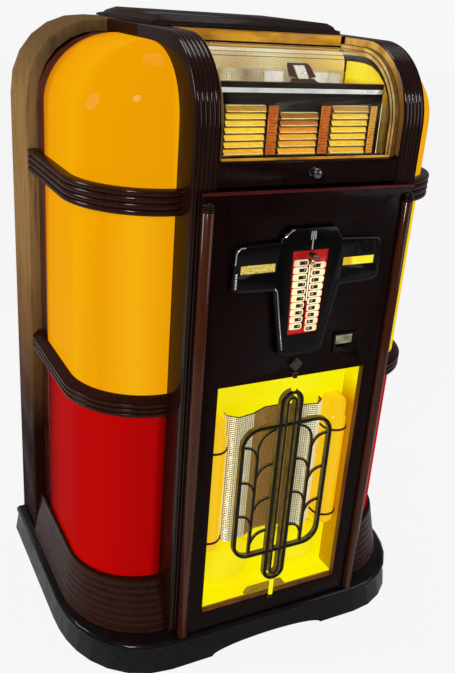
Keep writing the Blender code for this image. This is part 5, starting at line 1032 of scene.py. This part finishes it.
# Lid. A lacquered wooden frame carries a bent glass window and, under it, a round latch knob. Gold
# strips line the window's sides, foot and head, and a thin one lines each stile beside the lid.
LID_WOOD = wood("lid_wood", (0.0028, 0.0005, 0.0004), (0.0070, 0.0010, 0.0007), 0.3, coat=0.06)
dressed("lid_frame", LID_WOOD, "lid", limit=30)
GLASS = plain("window_glass", (0.98, 0.98, 0.95), 0.02, transmission_weight=1.0, ior=1.12)
smear = texture(GLASS, 5.0, detail=3.0)
ramp(GLASS, smear.outputs["Fac"], ((0.4, 0.0), (0.8, 0.05)), "Roughness")
dressed("lid_window", GLASS, "lid", limit=45)
# The gilt strips, the arcs and the stile linings glow with painted light from the bay. The ramps up the
# lid paint the linings in shade low down and bright near the top, the gold arcs in bands.
GILT = glowing("gilt_strip", (0.74, 0.36, 0.025), 0.74, (0.22, 0.065, 0.006), 40.0,
               (0.3, 1.0, 1.0), 0.2)
ARC_GOLD = glowing("arc_gold", (0.86, 0.66, 0.26), 0.88, (0.40, 0.20, 0.035), 24.0)
ARC_BROWN = glowing("arc_brown", (0.20, 0.10, 0.025), 0.7, (0.060, 0.022, 0.006), 30.0)
LINING = glowing("lining_gold", (0.72, 0.44, 0.10), 0.85, (0.34, 0.14, 0.02), 24.0)
tinted(LINING, "Z", 1.15, 1.365, (
    (0.0, (0.10, 0.05, 0.04)), (0.45, (0.14, 0.07, 0.05)), (0.72, (0.40, 0.30, 0.25)),
    (0.92, (1.0, 1.0, 1.0))))
tinted(ARC_GOLD, "Z", 1.15, 1.365, (
    (0.0, (0.30, 0.18, 0.10)), (0.18, (0.75, 0.60, 0.42)), (0.35, (0.36, 0.28, 0.20)),
    (0.55, (0.62, 0.60, 0.58)), (0.75, (1.0, 1.0, 1.0)), (1.0, (0.85, 0.62, 0.25))))
LID_FOOT, LID_END = 1.152, 0.236


def swept_strip(name, side, edges, front, back, material, foot=LID_FOOT):
    """A thin strip between two reaches and two depths that follows the lid's sweep."""
    near, far = edges
    section = [(side * x, depth) for x, depth in
               ((near, back), (near, front), (far, front), (far, back))]
    return loft(name, fascia_rings(section, foot, LID_END), limit=40, material=material)


arcs = [swept_strip("lid_arc", side, (0.1912, 0.1978), 0.0154, 0.0159, ARC_BROWN) for side in (-1, 1)]
arcs += [swept_strip("reveal_lining", side, (0.1901, 0.1904), front, back, ARC_GOLD)
         for side in (-1, 1) for front, back in ((0.0166, 0.0230), (0.0272, 0.0335))]
strips = [box((-0.1895, 0.0165, 1.1508), (0.1895, 0.0205, 1.1550), GILT, 0.0006),
          box((-0.1960, 0.2385, 1.3646), (0.1960, 0.2560, 1.3650), GILT, 0.0002),
          box((-0.1895, 0.2366, 1.3450), (0.1895, 0.2378, 1.3640), GILT, 0.0004)]
assembled("lid_gilt_strips", arcs + strips, "lid")
for label, side in SIDES:
    name = "stile_lining_" + label
    strip = swept_strip(name, side, (0.1995, 0.1999), 0.0020, 0.0154, None, 1.156)
    put(name, strip, LINING)
LATCH_Z = 1.130
KNOB_BLACK = plain("knob_black", (0.010, 0.010, 0.010), 0.12, coat_weight=1.0, coat_roughness=0.06)
scuffs = texture(KNOB_BLACK, 90.0, detail=4.0)
ramp(KNOB_BLACK, scuffs.outputs["Fac"], ((0.4, 0.10), (0.75, 0.26)), "Roughness")
bump(KNOB_BLACK, scuffs.outputs["Fac"], 0.0001)
knob = turned("lid_knob_piece", (
    (0.0055, 0.0004), (0.0055, 0.0065), (0.0062, 0.0072), (0.0095, 0.0080), (0.0104, 0.0100),
    (0.0105, 0.0130), (0.0103, 0.0160), (0.0092, 0.0184), (0.0072, 0.0204), (0.0040, 0.0216),
    (0.0, 0.0219)), at(0.0, 0.0, LATCH_Z))
put("lid_latch_knob", knob, KNOB_BLACK, "lid_knob", replaces=("lid_knob",))
ring = turned("knob_collar", ((0.0086, 0.0001), (0.0088, 0.0006), (0.0080, 0.0011), (0.0060, 0.0012)),
              at(0.0, 0.0005, LATCH_Z))
put("lid_knob_collar", ring, KNOB_BLACK, "lid")

# Front door. A lacquered panel on hinges, with a bullnose along its top and a half-round moulding and
# ringed finial glued down each side. The grille shows in its window.
DOOR_WOOD = wood("door_wood", (0.0018, 0.0002, 0.0002), (0.0056, 0.0005, 0.0004), 0.34, coat=0.04)
dressed("door_panel", DOOR_WOOD, "front_door")
BULLNOSE = lacquer("bullnose_red", (0.050, 0.0035, 0.0035), 0.22)
nose = wire_mesh("bullnose", [[at(-0.2375, -0.0150, 1.0984), at(0.2375, -0.0150, 1.0984)]], 0.0034,
                 BULLNOSE, 16)
put("door_bullnose", nose, None, "front_door")
MOULDING = wood("moulding_brown", (0.026, 0.0048, 0.0012), (0.052, 0.0105, 0.0022), 0.2, coat=0.3)
FINIAL = lacquer("finial_dark", (0.010, 0.0032, 0.0018), 0.16)
MOULDING_X, MOULDING_RADIUS, MOULDING_BACK = 0.226, 0.0118, -0.0165
DOOR_BEADS = ((0.0780, 0.80), (0.0800, 1.0), (1.0660, 1.0), (1.0678, 0.86), (1.0684, 1.0),
              (1.0692, 1.13), (1.0708, 1.16), (1.0722, 1.08), (1.0726, 0.88), (1.0738, 1.0),
              (1.0750, 1.07), (1.0766, 1.05), (1.0776, 0.84), (1.0784, 0.95), (1.0800, 0.98),
              (1.0824, 0.86), (1.0845, 0.58), (1.0858, 0.12))
for label, side in SIDES:
    for which, beads, material in (("moulding", DOOR_BEADS[:4], MOULDING),
                                   ("finial", DOOR_BEADS[3:], FINIAL)):
        rings = []
        for z, share in beads:
            radius = MOULDING_RADIUS * share
            rings.append([at(side * MOULDING_X + radius * cos(pi * step / 20),
                             MOULDING_BACK - radius * sin(pi * step / 20), z) for step in range(21)])
        mesh = loft(f"door_{which}_{label}", rings, limit=50)
        put(f"door_{which}_{label}", mesh, material, "front_door",
            replaces=("moulding_" + label,))

# Lit grille box. A shallow enamelled tray, lit inside, is fixed in the cabinet behind the door's
# window. It holds two pressed mounds, two moulded half-round pillars with dark rings, and the folded
# metal cloth in front of the speaker.
# The tray's lamps are not modelled: its enamel carries a painted glow.
GRILLE_YELLOW = glowing("light_box_enamel", (0.91, 0.84, 0.0006), 0.93, (0.88, 0.70, 0.0006), 5.0)
TRAY_SIDE = glowing("light_box_side", (0.91, 0.80, 0.0006), 0.90, (0.80, 0.60, 0.0006), 9.0)
# Painted shade on the side walls below their top edge.
tinted(TRAY_SIDE, "Z", 0.118, 0.708, (
    (0.0, (0.50, 0.25, 0.5)), (0.80, (0.58, 0.22, 0.6)), (0.90, (1.0, 1.0, 1.0))))
MOUND_YELLOW = glowing("mound_enamel", (0.92, 0.82, 0.003), 0.93, (0.86, 0.64, 0.002), 6.0)
# Painted shade in a ring round the mounds' feet.
tinted(MOUND_YELLOW, "Y", -0.233, -0.271, (
    (0.0, (0.42, 0.20, 0.5)), (0.10, (0.72, 0.50, 0.7)), (0.34, (1.0, 0.96, 1.0)),
    (0.7, (1.0, 1.0, 1.0))))
BOX_HALF, BOX_LOW, BOX_HIGH, BOX_BACK, WALL = 0.190, 0.118, 0.708, 0.062, 0.003
MOUND_RADIUS, MOUND_RISE = 0.074, 0.038
walls = [box((left, front, foot), (right, BOX_BACK, head), paint, 0.0008)
         for left, right, front, foot, head, paint in (
             (-BOX_HALF, BOX_HALF, BOX_BACK - WALL, BOX_LOW, BOX_HIGH, GRILLE_YELLOW),
             (-BOX_HALF, -BOX_HALF + WALL, 0.0, BOX_LOW, BOX_HIGH, TRAY_SIDE),
             (BOX_HALF - WALL, BOX_HALF, 0.0, BOX_LOW, BOX_HIGH, TRAY_SIDE),
             (-BOX_HALF, BOX_HALF, 0.0, BOX_LOW, BOX_LOW + WALL, GRILLE_YELLOW),
             (-BOX_HALF, BOX_HALF, 0.0, BOX_HIGH - WALL, BOX_HIGH, GRILLE_YELLOW))]
for side in (-1, 1):
    profile = [(MOUND_RADIUS, 0.0)]
    profile += [(MOUND_RADIUS * cos(pi / 2 * step / 14), MOUND_RISE * sin(pi / 2 * step / 14))
                for step in range(14)]
    profile.append((0.0, MOUND_RISE))
    walls.append(turned("mound", profile, at(side * 0.095, BOX_BACK - WALL, 0.1965), 48,
                        material=MOUND_YELLOW))
assembled("grille_tray", walls, replaces=("grille_light_box",))

# The sill carries a dimmer painted glow from the box.
SILL = glowing("sill_olive", (0.36, 0.24, 0.020), 0.80, (0.22, 0.13, 0.010), 40.0)
block = loft("sill_block", [[at(x, u, z) for x, z in ((-0.056, 0.1212), (0.056, 0.1212),
                                                       (0.046, 0.1345), (-0.046, 0.1345))]
                            for u in (0.003, 0.016)], limit=30)
sill = box((-0.1868, 0.0005, 0.1212), (0.1868, 0.003, 0.1262), None, 0.0006)
put("window_sill", joined("window_sill", [block, sill]), SILL)
# The jamb carries a dim painted glow from the box.
JAMB = glowing("jamb_brown", (0.16, 0.050, 0.012), 0.8, (0.050, 0.013, 0.004), 30.0, (1.0, 1.0, 0.2))
jambs = [box((0.1775, -0.0150, 0.1270), (0.1786, -0.0018, 0.6990), JAMB, 0.0002),
         box((-0.1760, -0.0150, 0.1262), (0.1760, -0.0018, 0.1272), JAMB, 0.0002)]
assembled("window_jamb", jambs, "front_door")

PILLAR_ORANGE = glowing("pillar_orange", (0.89, 0.58, 0.006), 0.93, (0.86, 0.46, 0.004), 6.0,
                        (1.0, 1.0, 0.15), 0.15)
# The pillars glow with painted light; this ramp paints shade down the right pillar's outer half, beside
# the tray wall.
tinted(PILLAR_ORANGE, "X", 0.155, 0.1835, (
    (0.0, (1.0, 1.0, 1.0)), (0.35, (1.0, 0.96, 1.0)), (0.55, (0.80, 0.50, 0.7)),
    (0.72, (0.30, 0.09, 0.3))))
RING_DARK = lacquer("pillar_ring_dark", (0.05, 0.012, 0.004), 0.25)
PILLAR_X, PILLAR_RADIUS, PILLAR_CENTRE, PILLAR_BACK = 0.155, 0.0285, 0.0335, 0.0585
PILLAR_LOW, PILLAR_HIGH, PILLAR_SHOULDER = 0.273, 0.604, 0.561
RING_LOW, RING_HIGH = 0.296, 0.528


def half_column(centre_x, stations, material):
    """A half-round upright: (z, radius) stations with a flat back."""
    rings = []
    for z, radius in stations:
        ring = [at(centre_x + radius, PILLAR_BACK, z)]
        ring += [at(centre_x + radius * cos(pi * step / 24),
                    PILLAR_CENTRE - radius * sin(pi * step / 24), z) for step in range(25)]
        ring.append(at(centre_x - radius, PILLAR_BACK, z))
        rings.append(ring)
    return loft("half_column", rings, limit=50, material=material)


for label, side in SIDES:
    stations = [(PILLAR_LOW, 0.0240), (PILLAR_LOW + 0.003, 0.0270), (PILLAR_LOW + 0.009, PILLAR_RADIUS),
                (PILLAR_SHOULDER - 0.004, PILLAR_RADIUS), (PILLAR_SHOULDER, 0.0276),
                (PILLAR_SHOULDER + 0.002, 0.0250), (PILLAR_SHOULDER + 0.006, 0.0240),
                (PILLAR_HIGH - 0.012, 0.0236), (PILLAR_HIGH - 0.003, 0.0215), (PILLAR_HIGH, 0.0170)]
    meshes = [half_column(side * PILLAR_X, stations, PILLAR_ORANGE)]
    for z in (RING_LOW, RING_HIGH):
        meshes.append(half_column(side * PILLAR_X, [
            (z, 0.0286), (z + 0.0010, 0.0304), (z + 0.0030, 0.0312), (z + 0.0050, 0.0304),
            (z + 0.0060, 0.0286)], RING_DARK))
    assembled("lit_pillar_" + label, meshes,
              replaces=("grille_pillar_" + label,))

# The cloth's wires glow with painted light from the box: the outer folds lit, the middle folds in
# painted shade, and part of the backing behind the lit folds given a painted glow.
CLOTH_WIRE = metal("cloth_wire", (0.80, 0.74, 0.50), 0.36)
CLOTH_SHADE = metal("cloth_shaded_wire", (0.26, 0.150, 0.055), 0.4)
for wire, glow in ((CLOTH_WIRE, (0.84, 0.80, 0.52, 1.0)), (CLOTH_SHADE, (0.46, 0.25, 0.055, 1.0))):
    shader_of(wire).inputs["Emission Color"].default_value = glow
    shader_of(wire).inputs["Emission Strength"].default_value = 0.40
CLOTH_LIT = glowing("cloth_lit", (0.22, 0.16, 0.05), 0.5, (0.02, 0.012, 0.003), 120.0)
CLOTH_BACK = flecked("speaker_backing", (0.10, 0.050, 0.012), 0.9, 210.0, (
    (0.35, (0.012, 0.005, 0.002)), (0.65, (0.050, 0.024, 0.006))), 0.0008)
CLOTH_HALF, CLOTH_LOW, CLOTH_HIGH = 0.1215, 0.2745, 0.5990
FOLDS = [(-CLOTH_HALF, 0.0560), (-CLOTH_HALF, 0.0425), (-0.1000, 0.0255), (-0.0600, 0.0330),
         (-0.0230, 0.0500), (0.0230, 0.0500), (0.0600, 0.0330), (0.1000, 0.0255), (CLOTH_HALF, 0.0425),
         (CLOTH_HALF, 0.0560)]
CLOTH_PITCH, SHADE_HALF = 0.0048, 0.058
steps = []
for (x0, u0), (x1, u1) in zip(FOLDS, FOLDS[1:]):
    length = ((x1 - x0) ** 2 + (u1 - u0) ** 2) ** 0.5
    count = max(1, round(length / CLOTH_PITCH))
    steps += [(x0 + (x1 - x0) * step / count, u0 + (u1 - u0) * step / count) for step in range(count)]
steps.append(FOLDS[-1])
rows = int((CLOTH_HIGH - CLOTH_LOW) / CLOTH_PITCH)
uprights = [[at(x, u + (0.0005 if (row + column) % 2 else -0.0005), CLOTH_LOW + CLOTH_PITCH * row)
             for row in range(rows + 1)] for column, (x, u) in enumerate(steps)]
levels = [[[at(x, u, CLOTH_LOW + CLOTH_PITCH * row) for x, u in part] for row in range(rows + 1)]
          for part in (FOLDS[:4], FOLDS[3:7], FOLDS[6:])]
backing = loft("cloth_backing", [[at(x, u + 0.0022, z) for z in (CLOTH_LOW, CLOTH_HIGH)]
                                 for x, u in FOLDS], closed_ring=False)
backing = walled(backing, 0.0008, CLOTH_BACK, CLOTH_LIT)
for face in backing.polygons:
    if abs(face.center.x) > 0.062 and face.center.x < 0.101:
        face.material_index = 1
shaded = [route for route in uprights if abs(route[0].x) < SHADE_HALF]
lit = [route for route in uprights if abs(route[0].x) >= SHADE_HALF]
cloth = [wire_mesh("cloth_wires", routes, radius, wire, 5) for routes, radius, wire in (
    (shaded, 0.0010, CLOTH_SHADE), (lit, 0.0010, CLOTH_WIRE), (levels[0], 0.0009, CLOTH_WIRE),
    (levels[1], 0.0009, CLOTH_SHADE), (levels[2], 0.0009, CLOTH_WIRE))]
assembled("metal_cloth", cloth + [backing], replaces=("speaker_mesh",))

# Grille casting. One black iron casting: a tall double loop, a rounded frame and two stems with
# curved leaves. Its lug above and its lug below are screwed to the door; they are black over the
# door, and in the window they carry the light box's painted yellow glow.
IRON = lacquer("grille_iron", (0.0040, 0.0035, 0.0035), 0.26)
LIT_IRON = glowing("grille_lit_side", (0.36, 0.24, 0.035), 0.30, (0.14, 0.08, 0.010), 60.0)
LUG_BOX_GLOW = glowing("lug_yellow", (0.90, 0.80, 0.0006), 0.95, (0.88, 0.74, 0.0006), 7.0)
CAST_BACK = -0.008
FRAME_HALF, FRAME_LOW, FRAME_HIGH = 0.110, 0.256, 0.588
LOOP_HALF, LOOP_LOW, LOOP_HIGH = 0.0235, 0.177, 0.666
WINDOW_LOW, WINDOW_HIGH = 0.1265, 0.6995


def cast_bar(route, width, depth, back, closed=False, material=IRON):
    """A bar with a rounded front along (x, z) points."""
    points = [Vector(point) for point in route]
    count = len(points)
    rings = []
    for index, point in enumerate(points):
        before = points[index - 1] if index or closed else point
        after = points[(index + 1) % count] if index < count - 1 or closed else point
        along = (after - before).normalized()
        across = Vector((-along.y, along.x)) * width / 2
        ring = [(1.0, 0.0), (1.0, 0.62)]
        ring += [(cos(pi * step / 8), 0.62 + 0.38 * sin(pi * step / 8)) for step in range(1, 8)]
        ring += [(-1.0, 0.62), (-1.0, 0.0)]
        rings.append([at(point.x + across.x * reach, back - depth * rise, point.y + across.y * reach)
                      for reach, rise in ring])
    if closed:
        rings.append(rings[0])
    return loft("cast_bar", rings, caps=not closed, limit=55, material=material)


def round_route(half, low, high, corner, steps=12):
    """A closed route round a rectangle with round corners."""
    route = []
    for quarter, (x, z) in enumerate(((half - corner, high - corner), (corner - half, high - corner),
                                      (corner - half, low + corner), (half - corner, low + corner))):
        for step in range(steps + 1):
            angle = pi / 2 * (quarter + step / steps)
            route.append((x + corner * cos(angle), z + corner * sin(angle)))
    return route


def leaf(start, end, bulge, steps=9):
    """A bar between two (x, z) points that curves out by a share of its length."""
    first, last = Vector(start), Vector(end)
    across = Vector((-(last - first).y, (last - first).x))
    return [tuple(first.lerp(last, step / steps) + across * bulge * sin(pi * step / steps))
            for step in range(steps + 1)]


bars = [cast_bar(round_route(LOOP_HALF, LOOP_LOW, LOOP_HIGH, 0.0233, 16), 0.0095, 0.016,
                 CAST_BACK, True),
        cast_bar(round_route(0.0100, LOOP_LOW + 0.0135, LOOP_HIGH - 0.0135, 0.0099, 12), 0.0074,
                 0.015, CAST_BACK + 0.0001, True),
        cast_bar(round_route(FRAME_HALF, FRAME_LOW, FRAME_HIGH, 0.040), 0.0090, 0.014,
                 CAST_BACK + 0.0002, True),
        *(cast_bar([(0.0, start), (0.0, end)], 0.010, 0.005, -0.0165, material=paint)
          for start, end, paint in ((WINDOW_HIGH, 0.711, IRON), (WINDOW_LOW, 0.115, IRON),
                                    (LOOP_HIGH, WINDOW_HIGH, LUG_BOX_GLOW),
                                    (LOOP_LOW, WINDOW_LOW, LUG_BOX_GLOW)))]
STEM_X, STEM_TOP, LEAF_PITCH = 0.0685, 0.523, 0.0885
rods = []
for side in (-1, 1):
    rods.append(cast_bar([(side * STEM_X, FRAME_LOW), (side * STEM_X, STEM_TOP)], 0.0075, 0.0075,
                         CAST_BACK + 0.0003))
    for row in range(4):
        inner = 0.579 - LEAF_PITCH * row
        outer = inner - 0.0345
        rods.append(cast_bar(leaf((side * STEM_X, inner - 0.036 if row else STEM_TOP - 0.002),
                                  (side * LOOP_HALF, inner), -side * 0.22), 0.0055, 0.0065,
                             CAST_BACK + 0.0004))
        if row < 3:
            rods.append(cast_bar(leaf((side * STEM_X, min(outer - 0.036, STEM_TOP - 0.002)),
                                      (side * FRAME_HALF, outer), side * 0.22), 0.0055, 0.0065,
                                 CAST_BACK + 0.0005))
casting = joined("cast_grille", bars + rods)
# Faces turned from the front towards the box get a dim painted glow, the box's light on the iron.
casting.materials.append(LIT_IRON)
lit = len(casting.materials) - 1
for face in casting.polygons:
    turned_away = face.normal.y > -0.45 and (face.normal.x < -0.3 or face.normal.z > 0.4)
    deep = face.center.y > -0.316
    if turned_away and deep and casting.materials[face.material_index] == IRON:
        face.material_index = lit
put("cast_grille", casting, None, "front_door", replaces=("grille_casting",))

# Escutcheon. A black cast plate with a beaded edge holds the number scale, two lit labels and three
# coin slots. Chrome ribs run up its head, and screws from behind hold it to the door.
PLATE_BLACK = wood("escutcheon_black", (0.0012, 0.0007, 0.0007), (0.0020, 0.0012, 0.0012), 0.2,
                   coat=0.10)
dressed("escutcheon", PLATE_BLACK, "front_door", limit=30)
PLATE_FRONT, LINE_FRONT, BEAD_PITCH = -0.0264, -0.0265, 0.0046
LABEL_X, LABEL_Z = 0.1165, 0.952
OUTLINE = [(0.049, 1.0245), (0.0580, 1.0165), (0.0680, 1.0000), (0.1580, 0.9965), (0.1665, 0.9870),
           (0.1690, 0.9160), (0.1580, 0.9090), (0.0790, 0.9060), (0.0745, 0.9000), (0.0500, 0.7680),
           (0.0410, 0.7605)]
closed_outline = OUTLINE + [(-x, z) for x, z in reversed(OUTLINE)]
EDGE_GREY = metal("plate_edge_grey", (0.060, 0.045, 0.042), 0.4)
edge_line = wire_mesh("plate_edge_line", [
    [at(x, PLATE_FRONT + 0.0004, z) for x, z in closed_outline]], 0.0005, EDGE_GREY, 8, closed=True)
# The rim's upper-left stretches are chrome and the rest of it dull grey: a painted highlight on the
# side towards the lamps.
catching = [[at(-x, PLATE_FRONT + 0.0001, z) for x, z in route] for route in
            ([(0.0440, 1.0247), *OUTLINE[:2], (0.0620, 1.0105)],
             [(0.1480, 0.9968), *OUTLINE[3:5], (0.1675, 0.9640)])]
edge_light = wire_mesh("plate_edge_light", catching, 0.0015, CHROME, 8)
assembled("escutcheon_edge_line", [edge_line, edge_light], "front_door")
bead = turned("bead", ((0.0, 0.0), (0.0016, 0.0001), (0.0014, 0.0009), (0.0008, 0.0015),
                       (0.0, 0.0017)), (0, 0, 0), 10)
# Beads on the left half are chrome and the others dull grey: the same painted highlight.
beads, dim_beads = [], []
for side in (-1, 1):
    for (x0, z0), (x1, z1) in zip(OUTLINE[5:-2], OUTLINE[6:-1]):
        length = ((x1 - x0) ** 2 + (z1 - z0) ** 2) ** 0.5
        count = max(1, round(length / BEAD_PITCH))
        row = [at(side * (x0 + (x1 - x0) * step / count - 0.0042), LINE_FRONT,
                  z0 + (z1 - z0) * step / count + 0.0022) for step in range(count)]
        if side < 0 and x0 < 0.08:
            beads += row
        else:
            dim_beads += row
large = turned("large_bead", ((0.0, 0.0), (0.0027, 0.0001), (0.0024, 0.0014), (0.0013, 0.0022),
                              (0.0, 0.0024)), (0, 0, 0), 12)
wing_beads = [at(-0.1645, LINE_FRONT, 0.9450 - 0.0054 * step) for step in range(6)]
bead_rows = [repeated("large_beads", large, wing_beads, CHROME),
             repeated("bright_beads", bead, beads, CHROME),
             repeated("dim_beads", bead, dim_beads, EDGE_GREY)]
assembled("escutcheon_beads", bead_rows, "front_door")
ribs_up = [[at(x, PLATE_FRONT - 0.0006, z) for z in (1.0215, 1.0130, 1.0045)]
           for x in (-0.0045, 0.0, 0.0045)]
ribs_up.append([at(0.0, PLATE_FRONT - 0.0002, 1.0045), at(0.0, PLATE_FRONT - 0.0002, 0.9840)])
put("escutcheon_ribs", wire_mesh("escutcheon_ribs", ribs_up, 0.0016, CHROME, 10), None, "front_door")


def rim_around(name, *outlines):
    """Thin grey lines round windows of the plate."""
    routes = [[at(x, LINE_FRONT, z) for x, z in outline] for outline in outlines]
    put(name, wire_mesh(name, routes, 0.0005, EDGE_GREY, 8, True), None, "front_door")


SLOT_X, SLOT_PITCH = 0.106, 0.022
# The labels glow with painted light; the right one is dimmer and browner towards its left end.
LABEL_LEFT = glowing("label_left", (0.84, 0.66, 0.13), 0.92, (0.22, 0.13, 0.02), 300.0,
                     (1.0, 1.0, 0.7))
LABEL_RIGHT = glowing("label_right", (0.90, 0.82, 0.03), 0.95, (0.84, 0.68, 0.03), 60.0)
tinted(LABEL_RIGHT, "X", 0.078, 0.155, (
    (0.04, (0.75, 0.50, 0.6)), (0.24, (0.80, 0.48, 0.8)), (0.34, (1.0, 1.0, 1.0))))
for label, side in SIDES:
    mesh = box((side * LABEL_X - 0.0380, -0.0246, 0.9434), (side * LABEL_X + 0.0380, -0.0235, 0.9606),
               None, 0.0004)
    put("label_" + label, mesh, LABEL_LEFT if side < 0 else LABEL_RIGHT, "front_door")
    rim_around("label_rim_" + label, four_corners(side * LABEL_X, LABEL_Z, 0.0392, 0.0094))
rim_around("coin_slot_rims", *(four_corners(SLOT_X + SLOT_PITCH * slot, 0.978, 0.0022, 0.0132)
                               for slot in range(3)))

# Number scale and selector knob. A tapered red scale has a slot down its middle and twenty cream
# number tabs. The knob slides down the slot on a steel carriage and is pressed in at a number.
SCALE_RED = lacquer("scale_red", (0.42, 0.012, 0.010), 0.25)
dressed("number_scale", SCALE_RED, "front_door")
# The tabs glow with painted light, brightest along the middle of the scale, dimmer towards its foot and
# much dimmer at its head.
TAB_CREAM = glowing("tab_cream", (1.00, 0.94, 0.62), 1.0, (0.90, 0.72, 0.30), 120.0)
tinted(TAB_CREAM, "Z", 0.80, 0.98, (
    (0.0, (0.85, 0.80, 0.8)), (0.45, (1.0, 1.0, 1.0)), (0.75, (1.0, 1.0, 1.0)),
    (1.0, (0.45, 0.35, 0.4))))
TAB_DARK = lacquer("tab_window_dark", (0.012, 0.010, 0.009), 0.3)
SCALE_LOW, SCALE_HIGH, SCALE_FOOT, SCALE_HEAD = 0.803, 0.982, 0.036, 0.042
TAB_TOP, TAB_PITCH = 0.960, 0.0150
tabs = []
for side in (-1, 1):
    for row in range(10):
        z = TAB_TOP - TAB_PITCH * row - (TAB_PITCH / 2 if side > 0 else 0.0)
        half = SCALE_FOOT + (SCALE_HEAD - SCALE_FOOT) * (z - SCALE_LOW) / (SCALE_HIGH - SCALE_LOW)
        ends = sorted((side * 0.0042, side * (half - 0.0040)))
        middle, reach = z - 0.0031, (ends[1] - ends[0]) / 2
        tab_outline = [(ends[0] + reach + reach * share, middle + rise * 0.0066) for share, rise in (
            (-1.0, -0.8), (-0.8, -1.0), (0.8, -1.0), (1.0, -0.62), (1.0, 0.62), (0.8, 1.0),
            (-0.8, 1.0), (-1.0, 0.8))]
        tabs.append(loft("tab", [[at(x, u, height) for x, height in tab_outline]
                                 for u in (-0.0250, -0.0266)], limit=30, material=TAB_CREAM))
        ends = sorted((side * 0.0072, side * (0.0072 + reach * 1.05)))
        tabs.append(box((ends[0], -0.0269, middle - 0.0040), (ends[1], -0.0258, middle + 0.0036),
                        TAB_DARK, 0.0003))
        text = bpy.data.curves.new("number", "FONT")
        text.body = str(row * 2 + (1 if side < 0 else 2))
        text.size = 0.0056
        text.extrude = 0.0001
        text.align_x = text.align_y = "CENTER"
        number = plain_mesh("number", placed("number", text))
        number.transform(Matrix.Translation(at(side * 0.0118, -0.0270, middle))
                         @ Matrix.Rotation(radians(90), 4, "X"))
        number.materials.clear()
        number.materials.append(TAB_CREAM)
        tabs.append(number)
assembled("number_tabs", tabs, "front_door")
# The slot is lit by painted glow: strips on its walls and behind it, dimmer above and below.
GLOW = glowing("slot_glow", (0.95, 0.92, 0.74), 1.6, (0.90, 0.84, 0.55), 30.0)
DIM_GLOW = glowing("slot_dim_glow", (0.40, 0.28, 0.16), 0.5, (0.22, 0.13, 0.07), 30.0)
slot_lights = [box((x - 0.0003, -0.0228, 0.8740), (x + 0.0003, -0.0200, 0.9500), GLOW, 0.0001)
               for x in (-0.0031, 0.0031)]
slot_lights += [box((-0.0048, -0.0010, foot), (0.0048, -0.0004, head), paint, 0.0002)
                for foot, head, paint in ((0.806, 0.874, DIM_GLOW), (0.8742, 0.950, GLOW),
                                          (0.9502, 0.985, DIM_GLOW))]
assembled("slot_light", slot_lights, "front_door")
KNOB_CAP = metal("selector_cap", (0.24, 0.12, 0.11), 0.3)
KNOB_GOLD = metal("selector_gold", (0.80, 0.58, 0.25), 0.14)
cap = turned("selector_cap", ((0.0022, -0.0160), (0.0022, 0.0), (0.0060, 0.0002), (0.0074, 0.0012),
                              (0.0075, 0.0040), (0.0066, 0.0058), (0.0068, 0.0120),
                              (0.0060, 0.0142), (0.0040, 0.0154), (0.0, 0.0158)),
             at(0.0, -0.0302, 0.972), material=KNOB_CAP)
drop = turned("selector_drop", (
    (0.0, -0.0150), (0.0020, -0.0138), (0.0036, -0.0112), (0.0042, -0.0085), (0.0034, -0.0050),
    (0.0020, -0.0015), (0.0, 0.0)), at(0.0, -0.0345, 0.9665), 20, upright=True, material=KNOB_GOLD)
assembled("selector_handle", [cap, drop], "selector_knob", ("selector_knob",))
dressed("selector_carriage", CHASSIS, "selector_slide", name="selector_block")

# Coin return and lock. A pressed cup with a rolled rim is let into the door and closed by a sprung
# flap. The lock barrel turns in a small diamond plate above the grille's window, and the coin
# mechanism is screwed to the back of the door.
CUP_X, CUP_Z = 0.114, 0.766
CUP_METAL = metal("coin_cup_metal", (0.016, 0.013, 0.010), 0.5)
# The flap carries a painted glow that stands for light falling on it.
FLAP_LIT = glowing("flap_lit", (0.42, 0.42, 0.28), 0.7, (0.05, 0.05, 0.025), 45.0)
dressed("coin_return_cup", CUP_METAL, "front_door")
dressed("coin_return_flap", FLAP_LIT, "coin_return_flap")
rim = [[at(x, -0.0186, z) for x, z in four_corners(CUP_X, CUP_Z, 0.0262, 0.0212)]]
put("coin_return_rim", wire_mesh("coin_return_rim", rim, 0.0012, CUP_METAL, 10, True), None,
    "front_door")
LOCK_GREY = metal("lock_grey", (0.070, 0.066, 0.060), 0.4)
dressed("door_lock", LOCK_GREY, "door_lock", name="lock_barrel")
ring = turned("lock_plate", ((0.0098, 0.0001), (0.0165, 0.0001), (0.0165, 0.0010), (0.0140, 0.0016),
                             (0.0098, 0.0018)), at(0.0, -0.0162, 0.730), 4, 20)
put("lock_plate", ring, LOCK_GREY, "front_door")
dressed("coin_mechanism", CHASSIS, "front_door")

# Sound and coin works. Behind the grille are a fibre baffle board and a paper-cone speaker. The valve
# amplifier and the sheet-steel cash box stand on the cabinet's floor.
PAPER = flecked("cone_paper", (0.05, 0.044, 0.036), 0.85, 160.0, (
    (0.3, (0.035, 0.030, 0.024)), (0.7, (0.075, 0.065, 0.052))), 0.0006, detail=4.0)
dressed("speaker", PAPER)
dressed("speaker_baffle", BOARD)
dressed("amplifier", CHASSIS)
dressed("cash_box", MACHINE)
